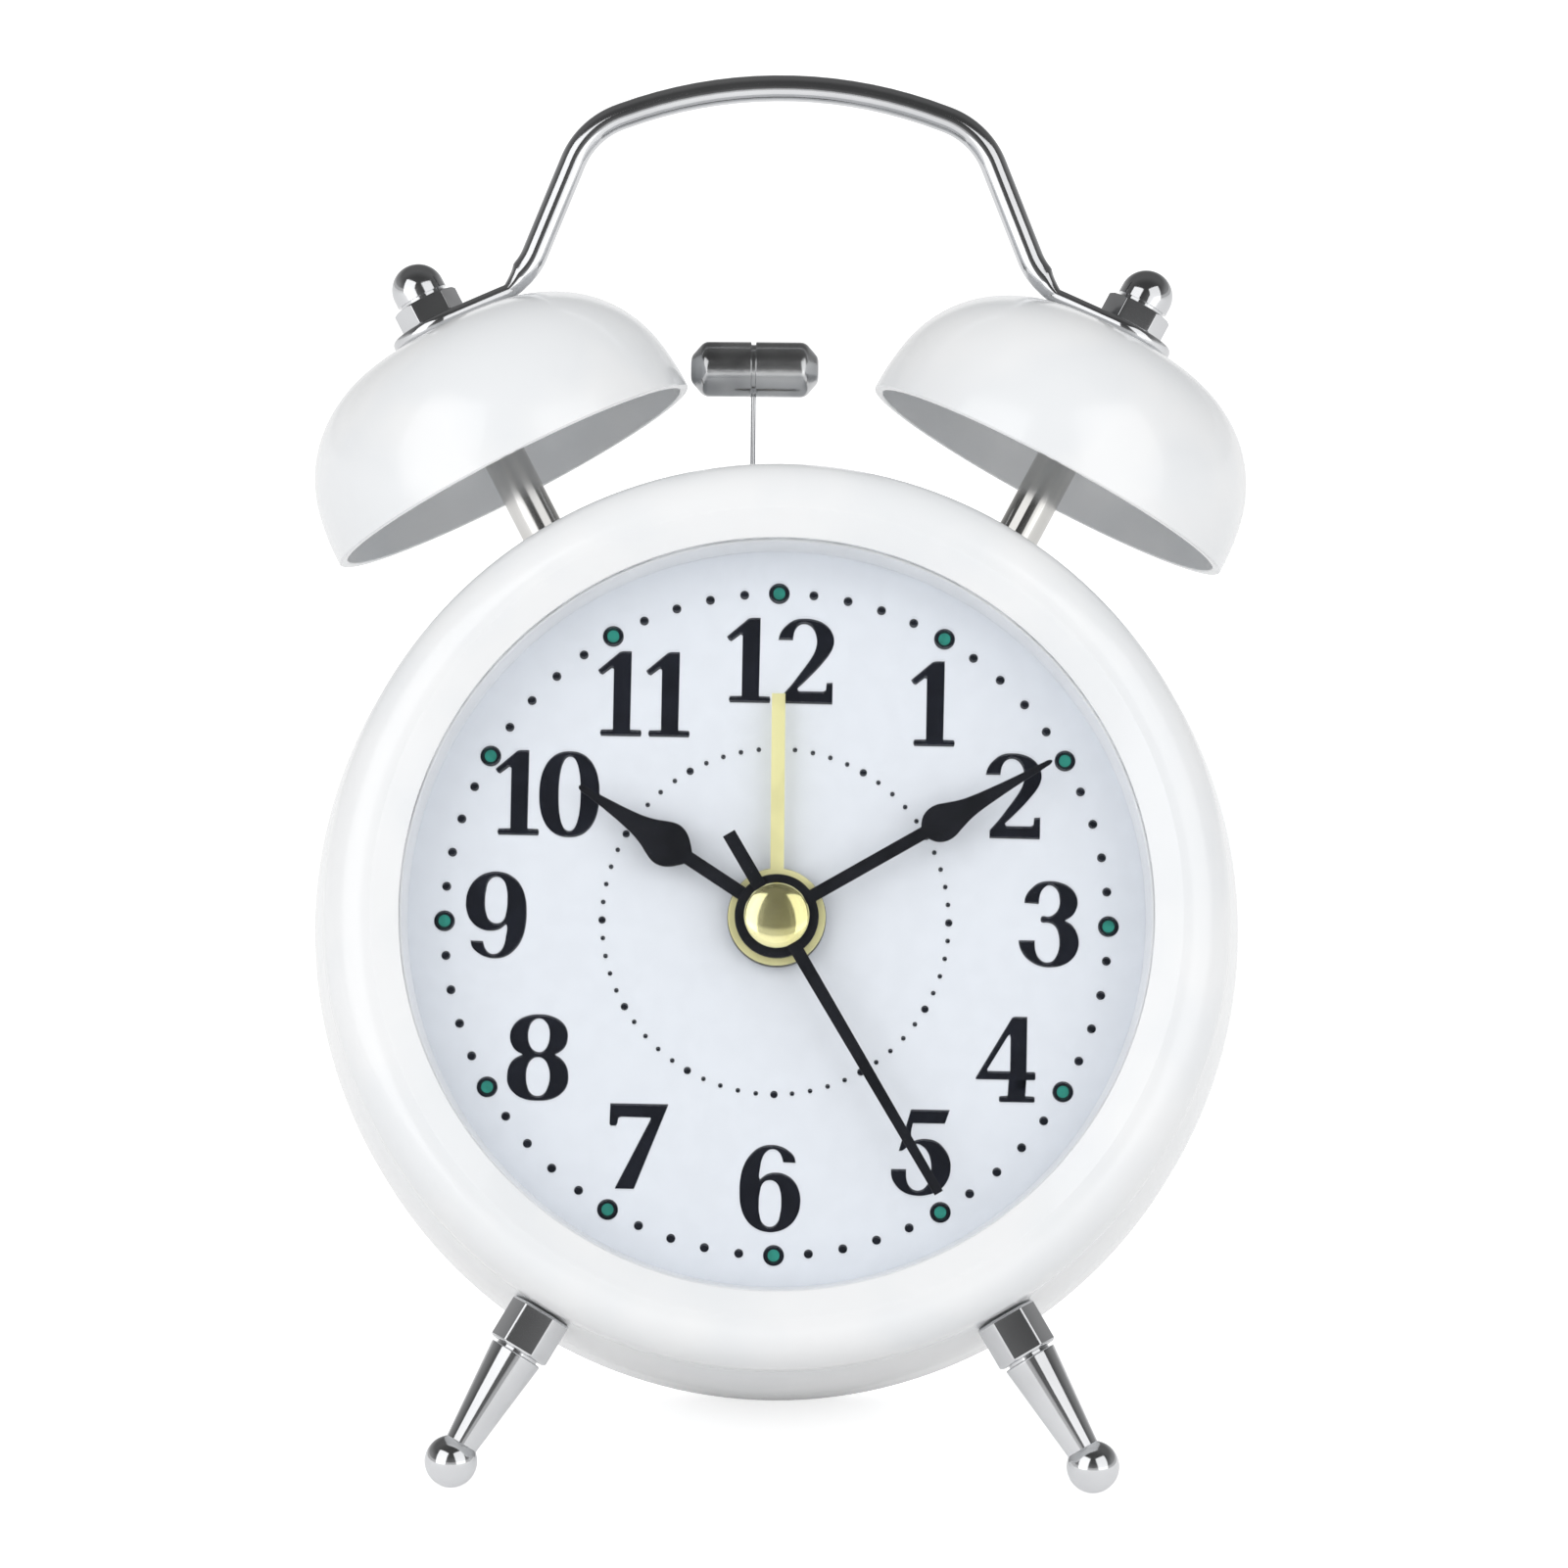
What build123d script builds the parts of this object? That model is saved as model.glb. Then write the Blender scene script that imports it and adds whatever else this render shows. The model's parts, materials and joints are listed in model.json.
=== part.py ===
from build123d import *
import os
from math import asin, atan2, cos, degrees, pi, radians, sin, sqrt, tan

# Twin bell alarm clock, in millimetres, +Z up, face towards -Y.
# Body coordinates: x to the right, y towards twelve o'clock, depth forward from the back of the drum.

# Bezel and what it holds
bezel_r = 40.0
bezel_width = 6.8
bezel_depth = 9.0
bezel_round = 4.0
bezel_crest_flat = 0.3
bezel_slope_drop = 1.3
bezel_lip = 0.5
bezel_fit = 0.1
lens_lap = 1.8
lens_thick = 1.0
lens_fit = 0.15
surround_length = 4.5
surround_taper = 0.65
surround_chamfer = 0.2
dial_step = 1.5
dial_thick = 0.5
dial_fit = 0.1

# Drum behind the bezel
bezel_overhang = 0.4
case_swell = 1.8
case_wall = 0.7
case_round = 4.0
barrel_start = 18.0
barrel_end = 33.0
neck_step = 0.7
neck_length = 3.6
rear_rim = 6.9
overrun = 5.0
seat_gap = 0.02

# Inner frame
frame_fit = 0.2
frame_lap = 1.4
frame_thick = 2.5
post_r = 3.0
post_margin = 0.1

# Rear cover, its screws and door
cover_lap = 2.4
cover_flange = 1.0
cover_spigot = 1.6
cover_fit = 0.2
cover_round = 0.5
cover_screw_r = 1.25
cover_screw_bite = 6.0
screw_head_share = 1.9
screw_head_height_share = 1.1
screw_slot_share = 0.45
screw_fit = 0.1
door_ledge = 1.6
door_thick = 1.0
door_fit = 0.25
door_corner = 2.0
door_grip_depth = 0.3
door_grip_width = 1.0
door_grip_length = 8.0
door_grip_count = 5

# Cell and contacts
cell_r = 7.25
cell_body = 49.2
cell_nub_r = 2.75
cell_nub = 1.3
cell_chamfer = 0.5
cell_y = -11.0
bay_wall = 1.0
bay_clearance = 0.4
contact_thick = 0.4
contact_size = 9.0
leaf_travel = 1.2

# Bells and what stacks on them
bell_behind = 14.0
bell_direction = 30.35
bell_stand = 6.0
bell_tilt = 27.7
bell_mouth_r = 17.6
bell_height = 14.5
bell_top_flat_r = 5.0
bell_shoulder_r = 12.65
bell_shoulder_h = 12.0
bell_flank_r = 17.15
bell_flank_h = 5.0
bell_wall = 0.8
stud_r = 1.3
stud_fit = 0.08
bell_post_r = 1.95
washer_r = 3.4
washer_thick = 0.6
nut_flats = 4.6
nut_thick = 1.5
tab_thick = 0.8
acorn_flats = 5.3
acorn_hex = 2.6
acorn_collar = 0.35
acorn_collar_r = 2.1
acorn_dome_r = 2.4
acorn_height = 6.1

# Carrying handle
wire_r = 1.2
wire_lift = 0.05
tab_eye_r = 3.45
tab_neck_width = 2.6
wire_start = 6.9
wire_bend_out = 9.2
wire_bend_r = 5.9
handle_inset = 5.33
handle_leg = 13.38
handle_corner_r = 7.3
handle_rise = 6.71
handle_crown_share = 0.98

# Feet
foot_angle = 30.6
foot_stand = 14.3
foot_behind = 3.0
foot_ball_r = 2.35
rest_flat = 0.1
foot_hex_flats = 4.95
foot_hex_stand = 2.95
foot_hex_chamfer = 0.4
foot_neck_r = 1.8
foot_neck = 0.5
foot_cone_r = 2.45
foot_cone_tip_r = 1.5

# Hammer and its magnet
hammer_rest_gap = 0.2
hammer_stand = 9.4
head_length = 11.5
head_r = 2.5
head_end = 1.2
head_end_r = 1.1
head_groove = 0.2
head_groove_depth = 0.25
stem_r = 0.225
stem_offset = 0.1
pivot_inset = 15.4
bell_gap = 0.3
pin_r = 0.8
pin_fit = 0.05
lever_boss_r = 2.6
lever_depth = 7.0
lever_arm_width = 2.6
lever_arm_length = 9.0
armature_thick = 0.9
armature_gap = 1.9
armature_length = 5.6
magnet_height = 5.0
core_r = 1.6
pole_r = 2.2
pole_thick = 0.8
coil_r = 3.4
coil_length = 7.0
bracket_thick = 0.8
bracket_below = 2.3
bracket_post_r = 2.2
bracket_post_left = 8.2
bracket_post_right = 10.4
bracket_post_margin = 2.4
bracket_screw_r = 0.9
bracket_screw_bite = 5.0
hammer_slot_width = 1.6
hammer_slot_margin = 0.8

# Movement
movement_size = 46.0
movement_corner = 3.0
movement_plate = 1.2
movement_wall = 1.2
bush_r = 2.9
bush_rise = 0.2
dial_nut_flats = 7.0
dial_nut_thick = 1.0
bridge_thick = 0.7
movement_screw_inset = 3.6
movement_post_r = 2.0
movement_screw_r = 0.8
movement_screw_bite = 4.0
board_width = 24.0
board_height = 9.0
board_thick = 0.8
board_y = -17.0
crystal_r = 1.0
crystal_length = 6.0
magnet_rotor_r = 2.0
magnet_rotor_thick = 1.8
stator_gap = 0.5
stator_thick = 0.6
stator_half_height = 3.4
stator_arm_half = 1.2
stator_right = 4.0
stator_left = -17.5
stator_coil_left = -15.5
stator_coil_right = -6.0
stator_coil_size = 4.0
stator_post_r = 0.7

# Arbors, tubes and hands
arbor_fit = 0.05
second_arbor_r = 0.45
cannon_wall = 0.45
tube_wall = 0.4
pivot_r = 0.35
set_arbor_r = 1.0
hand_thick = 0.25
hand_gap = 0.3
hand_boss_rise = 0.12
alarm_hand_length = 19.8
alarm_hand_width = 1.2
alarm_hub_r = 4.3
hour_hand_length = 20.9
hour_hand_angle = 303.0
hour_stem_width = 1.25
hour_bulb_reach = 11.7
hour_bulb_r = 2.0
minute_hand_length = 27.9
minute_hand_angle = 60.0
minute_stem_width = 1.15
minute_bulb_reach = 17.0
minute_bulb_r = 1.55
second_hand_length = 28.3
second_hand_tail = 8.4
second_hand_angle = 149.3
second_hand_width = 0.8
black_hub_r = 3.7
second_boss_r = 2.2
cap_r = 2.9
cap_height = 0.8
cap_edge = 0.2
knob_r = 5.5
knob_length = 6.0
knob_gap = 0.6
knob_rib_count = 24
knob_rib_r = 0.35
knob_chamfer = 0.5

# Alarm switch
switch_y = 20.5
switch_travel = 4.0
switch_width = 4.0
switch_height = 3.0
switch_rise = 1.6
switch_base_margin = 1.3
switch_base_thick = 1.4
switch_fit = 0.15
switch_rib = 0.5

# Wheels: teeth, arbor distances and directions, and depths forward from the movement's cover
cannon_teeth = 12
motion_wheel_teeth = 36
motion_pinion_teeth = 10
hour_wheel_teeth = 40
alarm_pinion_teeth = 10
alarm_wheel_teeth = 40
rotor_teeth = 8
fifth_wheel_teeth = 48
fifth_pinion_teeth = 8
second_wheel_teeth = 40
second_pinion_teeth = 8
third_wheel_teeth = 60
third_pinion_teeth = 8
centre_wheel_teeth = 64
set_distance = 12.0
motion_direction = 30.0
alarm_direction = 150.0
fifth_distance = 8.64
fifth_direction = 90.0
rotor_distance = 8.4
third_distance = 8.7
third_direction = 270.0
wheel_thick = 0.8
pinion_overlap = 0.2
wheel_gap = 0.6
bridge_gap = 0.3
front_gap = 0.5

# Tooth form, as shares of the module, and of the pitch for widths
wheel_addendum_share = 0.8
pinion_addendum_share = 0.75
dedendum_share = 1.15
wheel_width_share = 0.40
pinion_width_share = 0.36
tip_width_share = 0.5
root_width_share = 1.25

# Radii that follow the bezel
bezel_opening_r = bezel_r - bezel_width
lens_r = bezel_opening_r + lens_lap
surround_rear_r = bezel_opening_r - surround_taper
dial_r = lens_r + dial_step
barrel_end_r = bezel_r - bezel_overhang
neck_r = barrel_end_r - neck_step
case_r = barrel_end_r + case_swell
rear_opening_r = case_r - rear_rim
frame_inner_r = lens_r - frame_lap
post_circle_r = rear_opening_r - post_r - post_margin
cover_r = rear_opening_r + cover_lap

# Levels of the wheels, forward from the movement's cover
level_rotor = wheel_thick
level_second = level_rotor + wheel_thick + wheel_gap
level_third = level_second + wheel_thick + wheel_gap
level_centre = level_third + wheel_thick + wheel_gap
level_bridge = level_centre + wheel_thick + pinion_overlap + bridge_gap
level_cannon = level_bridge + bridge_thick + pinion_overlap + front_gap
level_hour = level_cannon + wheel_thick + 2 * pinion_overlap + wheel_gap
level_alarm = level_hour + wheel_thick + 2 * pinion_overlap + front_gap
movement_length = 2 * movement_plate + level_alarm + wheel_thick + wheel_gap

# Where things stand along the body's depth
front = barrel_end + bezel_depth
lip_front = front - bezel_slope_drop
lens_front = lip_front - bezel_lip
lens_back = lens_front - lens_thick
dial_face = lens_back - surround_length
dial_back = dial_face - dial_thick
frame_back = dial_back - frame_thick
neck_front = barrel_end + neck_length
bell_depth = barrel_end - bell_behind
foot_depth = barrel_end - foot_behind
cover_inner = cover_spigot
cover_outer = -cover_flange
movement_back = dial_back - movement_length
cover_plate_front = movement_back + movement_plate
movement_front_inner = dial_back - movement_plate
bridge_back = cover_plate_front + level_bridge
bridge_front = bridge_back + bridge_thick

# Lean: both ball feet and the drum's rounded back edge stand on the floor together
foot_reach = case_r + foot_stand
foot_hex_end = case_r + foot_hex_stand
foot_y = -foot_reach * cos(radians(foot_angle))
rear_centre_y = case_r - case_round
foot_low = foot_ball_r - rest_flat
drop_up = -foot_y - rear_centre_y
drop_back = foot_depth - case_round
drop = sqrt(drop_up**2 + drop_back**2)
lean = degrees(atan2(drop_up, drop_back) + asin((foot_low - case_round) / drop))
stand_height = rear_centre_y * cos(radians(lean)) - case_round * sin(radians(lean)) + case_round

body = Plane(
    origin=(0, 0, stand_height),
    x_dir=(1, 0, 0),
    z_dir=(0, -cos(radians(lean)), sin(radians(lean))),
)
pieces = []


def keep(piece, name):
    """Name a finished piece and list it for export."""
    piece.part.label = name
    pieces.append(piece.part)


def seat_at(x, y, depth):
    """Plane square to the body's axis at a place on it."""
    return Plane(origin=body.from_local_coords((x, y, depth)), x_dir=body.x_dir, z_dir=body.z_dir)


def side_seat(x, y, depth, direction):
    """Plane whose z runs outwards in the dial's plane, direction in degrees clockwise from twelve."""
    out = body.x_dir * sin(radians(direction)) + body.y_dir * cos(radians(direction))
    return Plane(origin=body.from_local_coords((x, y, depth)), x_dir=out.cross(body.z_dir), z_dir=out)


def turning(seat):
    """Plane through a seat's axis: its x runs outwards and its y along the axis."""
    return Plane(origin=seat.origin, x_dir=seat.x_dir, z_dir=seat.y_dir * -1)


def spin(seat):
    """Axis of a seat."""
    return Axis(seat.origin, seat.z_dir)


def polar(distance, direction):
    """Point at a distance from the centre, direction in degrees counterclockwise from three."""
    return distance * cos(radians(direction)), distance * sin(radians(direction))


# Outline of the drum, outside and inside
def drum_outline(inset):
    """Half outline of the drum from its back to its neck, moved inwards by inset."""
    with BuildLine() as line:
        Line((0, inset), (case_r - case_round, inset))
        TangentArc(
            (case_r - case_round, inset), (case_r - inset, case_round), tangent=(1, 0)
        )
        Line((case_r - inset, case_round), (case_r - inset, barrel_start))
        TangentArc(
            (case_r - inset, barrel_start), (barrel_end_r - inset, barrel_end), tangent=(0, 1)
        )
    return line.line


def turned_envelope(inset):
    """Solid inside the drum's outline."""
    with BuildPart() as envelope:
        with BuildSketch(turning(body)):
            with BuildLine():
                add(drum_outline(inset))
                Polyline((barrel_end_r - inset, barrel_end), (0, barrel_end), (0, inset))
            make_face()
        revolve(axis=spin(body))
    return envelope.part


bell_mouth_x = (case_r + bell_stand) * sin(radians(bell_direction))
bell_mouth_y = (case_r + bell_stand) * cos(radians(bell_direction))
case_outside = turned_envelope(0)
case_inside = turned_envelope(case_wall)
bell_seats = {
    "left": side_seat(-bell_mouth_x, bell_mouth_y, bell_depth, -bell_tilt),
    "right": side_seat(bell_mouth_x, bell_mouth_y, bell_depth, bell_tilt),
}
foot_seats = {
    "left": side_seat(0, 0, foot_depth, 180 + foot_angle),
    "right": side_seat(0, 0, foot_depth, 180 - foot_angle),
}
top_seat = side_seat(0, 0, bell_depth, 0)
hammer_y = case_r + hammer_stand
pivot_y = case_r - pivot_inset
hammer_lever_length = hammer_y - pivot_y
mouth_inner_x = bell_mouth_x - bell_mouth_r * cos(radians(bell_tilt))
hammer_rest_x = hammer_rest_gap + head_length / 2 - mouth_inner_x
stem_x = hammer_rest_x - stem_offset
head_right = hammer_rest_x + head_length / 2
hammer_swing = degrees((mouth_inner_x - bell_gap - head_right) / hammer_lever_length)
stem_shift = pivot_inset * sin(radians(hammer_swing))

with BuildPart() as case_shell:
    with BuildSketch(turning(body)):
        with BuildLine():
            add(drum_outline(0))
            Polyline(
                (barrel_end_r, barrel_end),
                (neck_r, barrel_end),
                (neck_r, neck_front),
                (0, neck_front),
                (0, 0),
            )
        make_face()
    revolve(axis=spin(body))
    with BuildSketch(turning(body)):
        with BuildLine():
            add(drum_outline(case_wall))
            Polyline(
                (barrel_end_r - case_wall, barrel_end),
                (neck_r - case_wall, barrel_end),
                (neck_r - case_wall, neck_front),
                (0, neck_front),
                (0, case_wall),
            )
        make_face()
    revolve(axis=spin(body), mode=Mode.SUBTRACT)
    with BuildSketch(body.offset(barrel_end - case_wall)):
        Circle(barrel_end_r - case_wall / 2)
        Circle(neck_r - case_wall, mode=Mode.SUBTRACT)
    extrude(amount=case_wall)
    with BuildSketch(body):
        Circle(rear_opening_r)
    extrude(amount=case_wall, mode=Mode.SUBTRACT)
    for seat in bell_seats.values():
        with BuildSketch(seat):
            Circle(stud_r + stud_fit)
        extrude(amount=-bell_mouth_y / 2, mode=Mode.SUBTRACT)
    for seat in foot_seats.values():
        with BuildSketch(seat.offset(case_r / 2)):
            Circle(stud_r + stud_fit)
        extrude(amount=case_r, mode=Mode.SUBTRACT)
    with BuildSketch(top_seat.offset(case_r / 2)):
        with Locations((stem_x + stem_shift / 2, 0)):
            SlotOverall(stem_shift + 2 * hammer_slot_margin + hammer_slot_width, hammer_slot_width)
    extrude(amount=case_r, mode=Mode.SUBTRACT)
keep(case_shell, "case_shell")

with BuildPart() as bezel:
    crest_r = bezel_r - bezel_round
    seat_r = lens_r + lens_fit
    with BuildSketch(turning(body)):
        with BuildLine():
            Polyline(
                (neck_r + bezel_fit, barrel_end), (bezel_r, barrel_end), (bezel_r, front - bezel_round)
            )
            TangentArc((bezel_r, front - bezel_round), (crest_r, front), tangent=(0, 1))
            Polyline(
                (crest_r, front),
                (crest_r - bezel_crest_flat, front),
                (bezel_opening_r, lip_front),
                (bezel_opening_r, lens_front),
                (seat_r, lens_front),
                (seat_r, neck_front + bezel_fit),
                (neck_r + bezel_fit, neck_front + bezel_fit),
                (neck_r + bezel_fit, barrel_end),
            )
        make_face()
    revolve(axis=spin(body))
keep(bezel, "bezel")

with BuildPart() as lens:
    with BuildSketch(body.offset(lens_back)):
        Circle(lens_r)
    extrude(amount=lens_thick)
keep(lens, "lens")

with BuildPart() as surround_ring:
    with BuildSketch(turning(body)):
        Polygon(
            (surround_rear_r, dial_face),
            (lens_r, dial_face),
            (lens_r, lens_back),
            (bezel_opening_r - surround_chamfer, lens_back),
            align=None,
        )
    revolve(axis=spin(body))
keep(surround_ring, "surround_ring")

with BuildPart() as dial:
    with BuildSketch(body.offset(dial_back)):
        Circle(dial_r)
        Circle(bush_r + arbor_fit, mode=Mode.SUBTRACT)
    extrude(amount=dial_thick)
keep(dial, "dial")

with BuildPart() as inner_frame:
    frame_r = neck_r - case_wall - frame_fit
    with BuildSketch(body.offset(frame_back)):
        Circle(frame_r)
        Circle(frame_inner_r, mode=Mode.SUBTRACT)
    extrude(amount=frame_thick)
    with BuildSketch(body.offset(dial_back)):
        Circle(frame_r)
        Circle(dial_r + dial_fit, mode=Mode.SUBTRACT)
    extrude(amount=neck_front - dial_back)
    with BuildSketch(body.offset(cover_inner)):
        with PolarLocations(post_circle_r, 3, start_angle=180, angular_range=180, endpoint=True):
            Circle(post_r)
    extrude(amount=frame_back + frame_thick - cover_inner)
    with BuildSketch(body.offset(cover_inner)):
        with PolarLocations(post_circle_r, 3, start_angle=180, angular_range=180, endpoint=True):
            Circle(cover_screw_r)
    extrude(amount=cover_screw_bite + overrun, mode=Mode.SUBTRACT)
keep(inner_frame, "inner_frame")

# Places of the arbors
motion_place = polar(set_distance, motion_direction)
alarm_place = polar(set_distance, alarm_direction)
fifth_place = polar(fifth_distance, fifth_direction)
rotor_place = polar(fifth_distance + rotor_distance, fifth_direction)
third_place = polar(third_distance, third_direction)

# Cell bay, measured across the body
cell_depth = door_fit + cell_r
bay_front = cell_depth + cell_r + bay_clearance
cell_right = (cell_body + cell_nub) / 2
bay_right = cell_right + contact_thick
bay_left = -cell_right - contact_thick - leaf_travel
bay_half = cell_r + bay_clearance
bay_middle = (bay_left + bay_right) / 2
recess_width = bay_right - bay_left + 2 * door_ledge
recess_height = 2 * (bay_half + door_ledge)
pole_left = lever_boss_r + armature_thick + armature_gap
coil_left = pole_left + pole_thick
coil_right = coil_left + coil_length
bracket_front = bell_depth - lever_depth / 2 - pin_fit * 2
bracket_back = bracket_front - bracket_thick
bracket_posts = [(-bracket_post_left, pivot_y), (bracket_post_right, pivot_y)]
bracket_left = -bracket_post_left - bracket_post_margin
bracket_low = pivot_y - bracket_below
lever_arm_top = pivot_y + lever_arm_length
magnet_y = pivot_y + magnet_height
armature_low = magnet_y - armature_length / 2
armature_high = magnet_y + armature_length / 2

with BuildPart() as rear_cover:
    with BuildSketch(body.offset(cover_outer)):
        Circle(cover_r)
    extrude(amount=cover_flange)
    fillet(rear_cover.edges().group_by(Axis(body.origin, body.z_dir))[0], cover_round)
    with BuildSketch(body):
        Circle(rear_opening_r - cover_fit)
    extrude(amount=cover_inner)
    with BuildSketch(body):
        with Locations((bay_middle, cell_y)):
            Rectangle(bay_right - bay_left + 2 * bay_wall, 2 * (bay_half + bay_wall))
    extrude(amount=bay_front + bay_wall)
    with BuildSketch(body.offset(cover_outer)):
        with Locations((bay_middle, cell_y)):
            Rectangle(bay_right - bay_left, 2 * bay_half)
    extrude(amount=bay_front - cover_outer, mode=Mode.SUBTRACT)
    with BuildSketch(body.offset(cover_outer)):
        with Locations((bay_middle, cell_y)):
            RectangleRounded(recess_width, recess_height, door_corner)
    extrude(amount=door_thick, mode=Mode.SUBTRACT)
    with BuildSketch(body.offset(cover_inner)):
        with Locations(*bracket_posts):
            Circle(bracket_post_r)
    extrude(amount=bracket_back - cover_inner)
    with BuildSketch(body.offset(bracket_back)):
        with Locations(*bracket_posts):
            Circle(bracket_screw_r)
    extrude(amount=-(bracket_screw_bite + screw_fit), mode=Mode.SUBTRACT)
    with BuildSketch(body.offset(cover_outer)):
        with Locations(motion_place, alarm_place):
            Circle(set_arbor_r + arbor_fit * 2)
        with PolarLocations(post_circle_r, 3, start_angle=180, angular_range=180, endpoint=True):
            Circle(cover_screw_r + screw_fit)
        with Locations((0, switch_y)):
            Rectangle(switch_width + switch_travel + 2 * switch_fit, switch_height + 2 * switch_fit)
    extrude(amount=cover_flange + cover_inner, mode=Mode.SUBTRACT)
keep(rear_cover, "rear_cover")


def screws(name, heads, places, radius, length, forward=False):
    """Slotted pan-head screws under one name, their heads seated on the plane heads."""
    way = 1 if forward else -1
    head_height = radius * screw_head_height_share
    with BuildPart() as group:
        with BuildSketch(heads):
            with Locations(*places):
                Circle(radius * screw_head_share)
        extrude(amount=head_height * way)
        rims = group.edges().filter_by(GeomType.CIRCLE).group_by(spin(heads))[-1 if forward else 0]
        fillet(rims, head_height / 3)
        with BuildSketch(heads.offset(head_height * way / 2)):
            with Locations(*places):
                Rectangle(2 * radius * screw_head_share, radius * screw_slot_share)
        extrude(amount=head_height * way, mode=Mode.SUBTRACT)
        with BuildSketch(heads):
            with Locations(*places):
                Circle(radius - seat_gap)
        extrude(amount=-length * way)
    keep(group, name)


cover_screw_places = [polar(post_circle_r, 180), polar(post_circle_r, 270), polar(post_circle_r, 0)]
screws(
    "cover_screws",
    body.offset(cover_outer),
    cover_screw_places,
    cover_screw_r,
    cover_flange + cover_inner + cover_screw_bite,
)
screws(
    "bracket_screws",
    body.offset(bracket_front),
    bracket_posts,
    bracket_screw_r,
    bracket_thick + bracket_screw_bite,
    forward=True,
)

with BuildPart() as battery_door:
    with BuildSketch(body.offset(cover_outer)):
        with Locations((bay_middle, cell_y)):
            RectangleRounded(recess_width - 2 * door_fit, recess_height - 2 * door_fit, door_corner)
    extrude(amount=door_thick - seat_gap)
    with BuildSketch(body.offset(cover_outer)):
        with Locations((bay_middle, cell_y)):
            with GridLocations(2 * door_grip_width, 0, door_grip_count, 1):
                Rectangle(door_grip_width, door_grip_length)
    extrude(amount=door_grip_depth, mode=Mode.SUBTRACT)
keep(battery_door, "battery_door")

cell_seat = Plane(
    origin=body.from_local_coords((-cell_right, cell_y, cell_depth)), x_dir=body.y_dir, z_dir=body.x_dir
)
with BuildPart() as battery:
    with BuildSketch(cell_seat):
        Circle(cell_r)
    extrude(amount=cell_body)
    chamfer(battery.edges().filter_by(GeomType.CIRCLE), cell_chamfer)
    with BuildSketch(cell_seat.offset(cell_body)):
        Circle(cell_nub_r)
    extrude(amount=cell_nub)
keep(battery, "battery")

with BuildPart() as contact_positive:
    with BuildSketch(cell_seat.offset(2 * cell_right)):
        Rectangle(contact_size, contact_size)
    extrude(amount=contact_thick)
keep(contact_positive, "contact_positive")

leaf_seat = Plane(origin=body.from_local_coords((0, cell_y, 0)), x_dir=body.x_dir, z_dir=body.y_dir * -1)
with BuildPart() as contact_negative:
    leaf_left = bay_left
    leaf_right = -cell_right
    with BuildSketch(leaf_seat):
        Polygon(
            (leaf_left, cell_depth - contact_size / 2),
            (leaf_left + contact_thick, cell_depth - contact_size / 2),
            (leaf_right, cell_depth - contact_thick),
            (leaf_right, cell_depth + contact_thick),
            (leaf_left + contact_thick, cell_depth + contact_size / 2),
            (leaf_left, cell_depth + contact_size / 2),
            (leaf_right - contact_thick, cell_depth),
            align=None,
        )
    extrude(amount=contact_size / 2, both=True)
keep(contact_negative, "contact_negative")


# Bells, their posts, washers and nuts, each stack standing on the mouth's plane
def bell_curve(inset):
    """Half outline of a bell from its crown to its mouth, moved inwards by inset."""
    first = 2 * atan2(bell_height - bell_shoulder_h, bell_shoulder_r - bell_top_flat_r)
    chord = atan2(bell_shoulder_h - bell_flank_h, bell_flank_r - bell_shoulder_r)
    second = 2 * chord - first
    shoulder = (bell_shoulder_r - inset * sin(first), bell_shoulder_h - inset * cos(first))
    flank = (bell_flank_r - inset * sin(second), bell_flank_h - inset * cos(second))
    crown = (bell_top_flat_r, bell_height - inset)
    with BuildLine() as line:
        Line((0, bell_height - inset), crown)
        TangentArc(crown, shoulder, tangent=(1, 0))
        TangentArc(shoulder, flank, tangent=(cos(first), -sin(first)))
        TangentArc(flank, (bell_mouth_r - inset, 0), tangent=(cos(second), -sin(second)))
    return line.line


mouth_along = bell_mouth_x * sin(radians(bell_tilt)) + bell_mouth_y * cos(radians(bell_tilt))
mouth_aside = bell_mouth_x * cos(radians(bell_tilt)) - bell_mouth_y * sin(radians(bell_tilt))
bell_wall_height = sqrt((case_r - case_wall) ** 2 - mouth_aside**2) - mouth_along
post_shoulder = bell_height - bell_wall - washer_thick
tab_top = bell_height + tab_thick
for side, seat in bell_seats.items():
    with BuildPart() as bell:
        with BuildSketch(turning(seat)):
            with BuildLine():
                add(bell_curve(0))
                Polyline((bell_mouth_r, 0), (0, 0), (0, bell_height))
            make_face()
        revolve(axis=spin(seat))
        with BuildSketch(turning(seat)):
            with BuildLine():
                add(bell_curve(bell_wall))
                Polyline((bell_mouth_r - bell_wall, 0), (0, 0), (0, bell_height - bell_wall))
            make_face()
        revolve(axis=spin(seat), mode=Mode.SUBTRACT)
        with BuildSketch(seat):
            Circle(stud_r + stud_fit)
        extrude(amount=bell_height, mode=Mode.SUBTRACT)
    keep(bell, f"bell_{side}")
    with BuildPart() as post:
        with BuildSketch(seat.offset(-bell_height)):
            Circle(bell_post_r)
        extrude(amount=bell_height + post_shoulder)
        add(case_outside, mode=Mode.SUBTRACT)
        with BuildSketch(seat.offset(bell_wall_height - nut_thick)):
            Circle(stud_r)
        extrude(amount=nut_thick - bell_wall_height + tab_top + acorn_hex + acorn_collar)
    keep(post, f"bell_post_{side}")


def nuts(name, seats):
    """Hex nuts inside the drum, each drawn up against its wall: seats gives plane and wall distance."""
    with BuildPart() as group:
        for seat, wall in seats:
            with BuildSketch(seat.offset(wall - nut_thick)):
                RegularPolygon(nut_flats / 2, 6, major_radius=False)
                Circle(stud_r + seat_gap, mode=Mode.SUBTRACT)
            extrude(amount=2 * nut_thick)
        add(case_inside, mode=Mode.INTERSECT)
    keep(group, name)


nuts("post_nuts", [(seat, bell_wall_height) for seat in bell_seats.values()])

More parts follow.
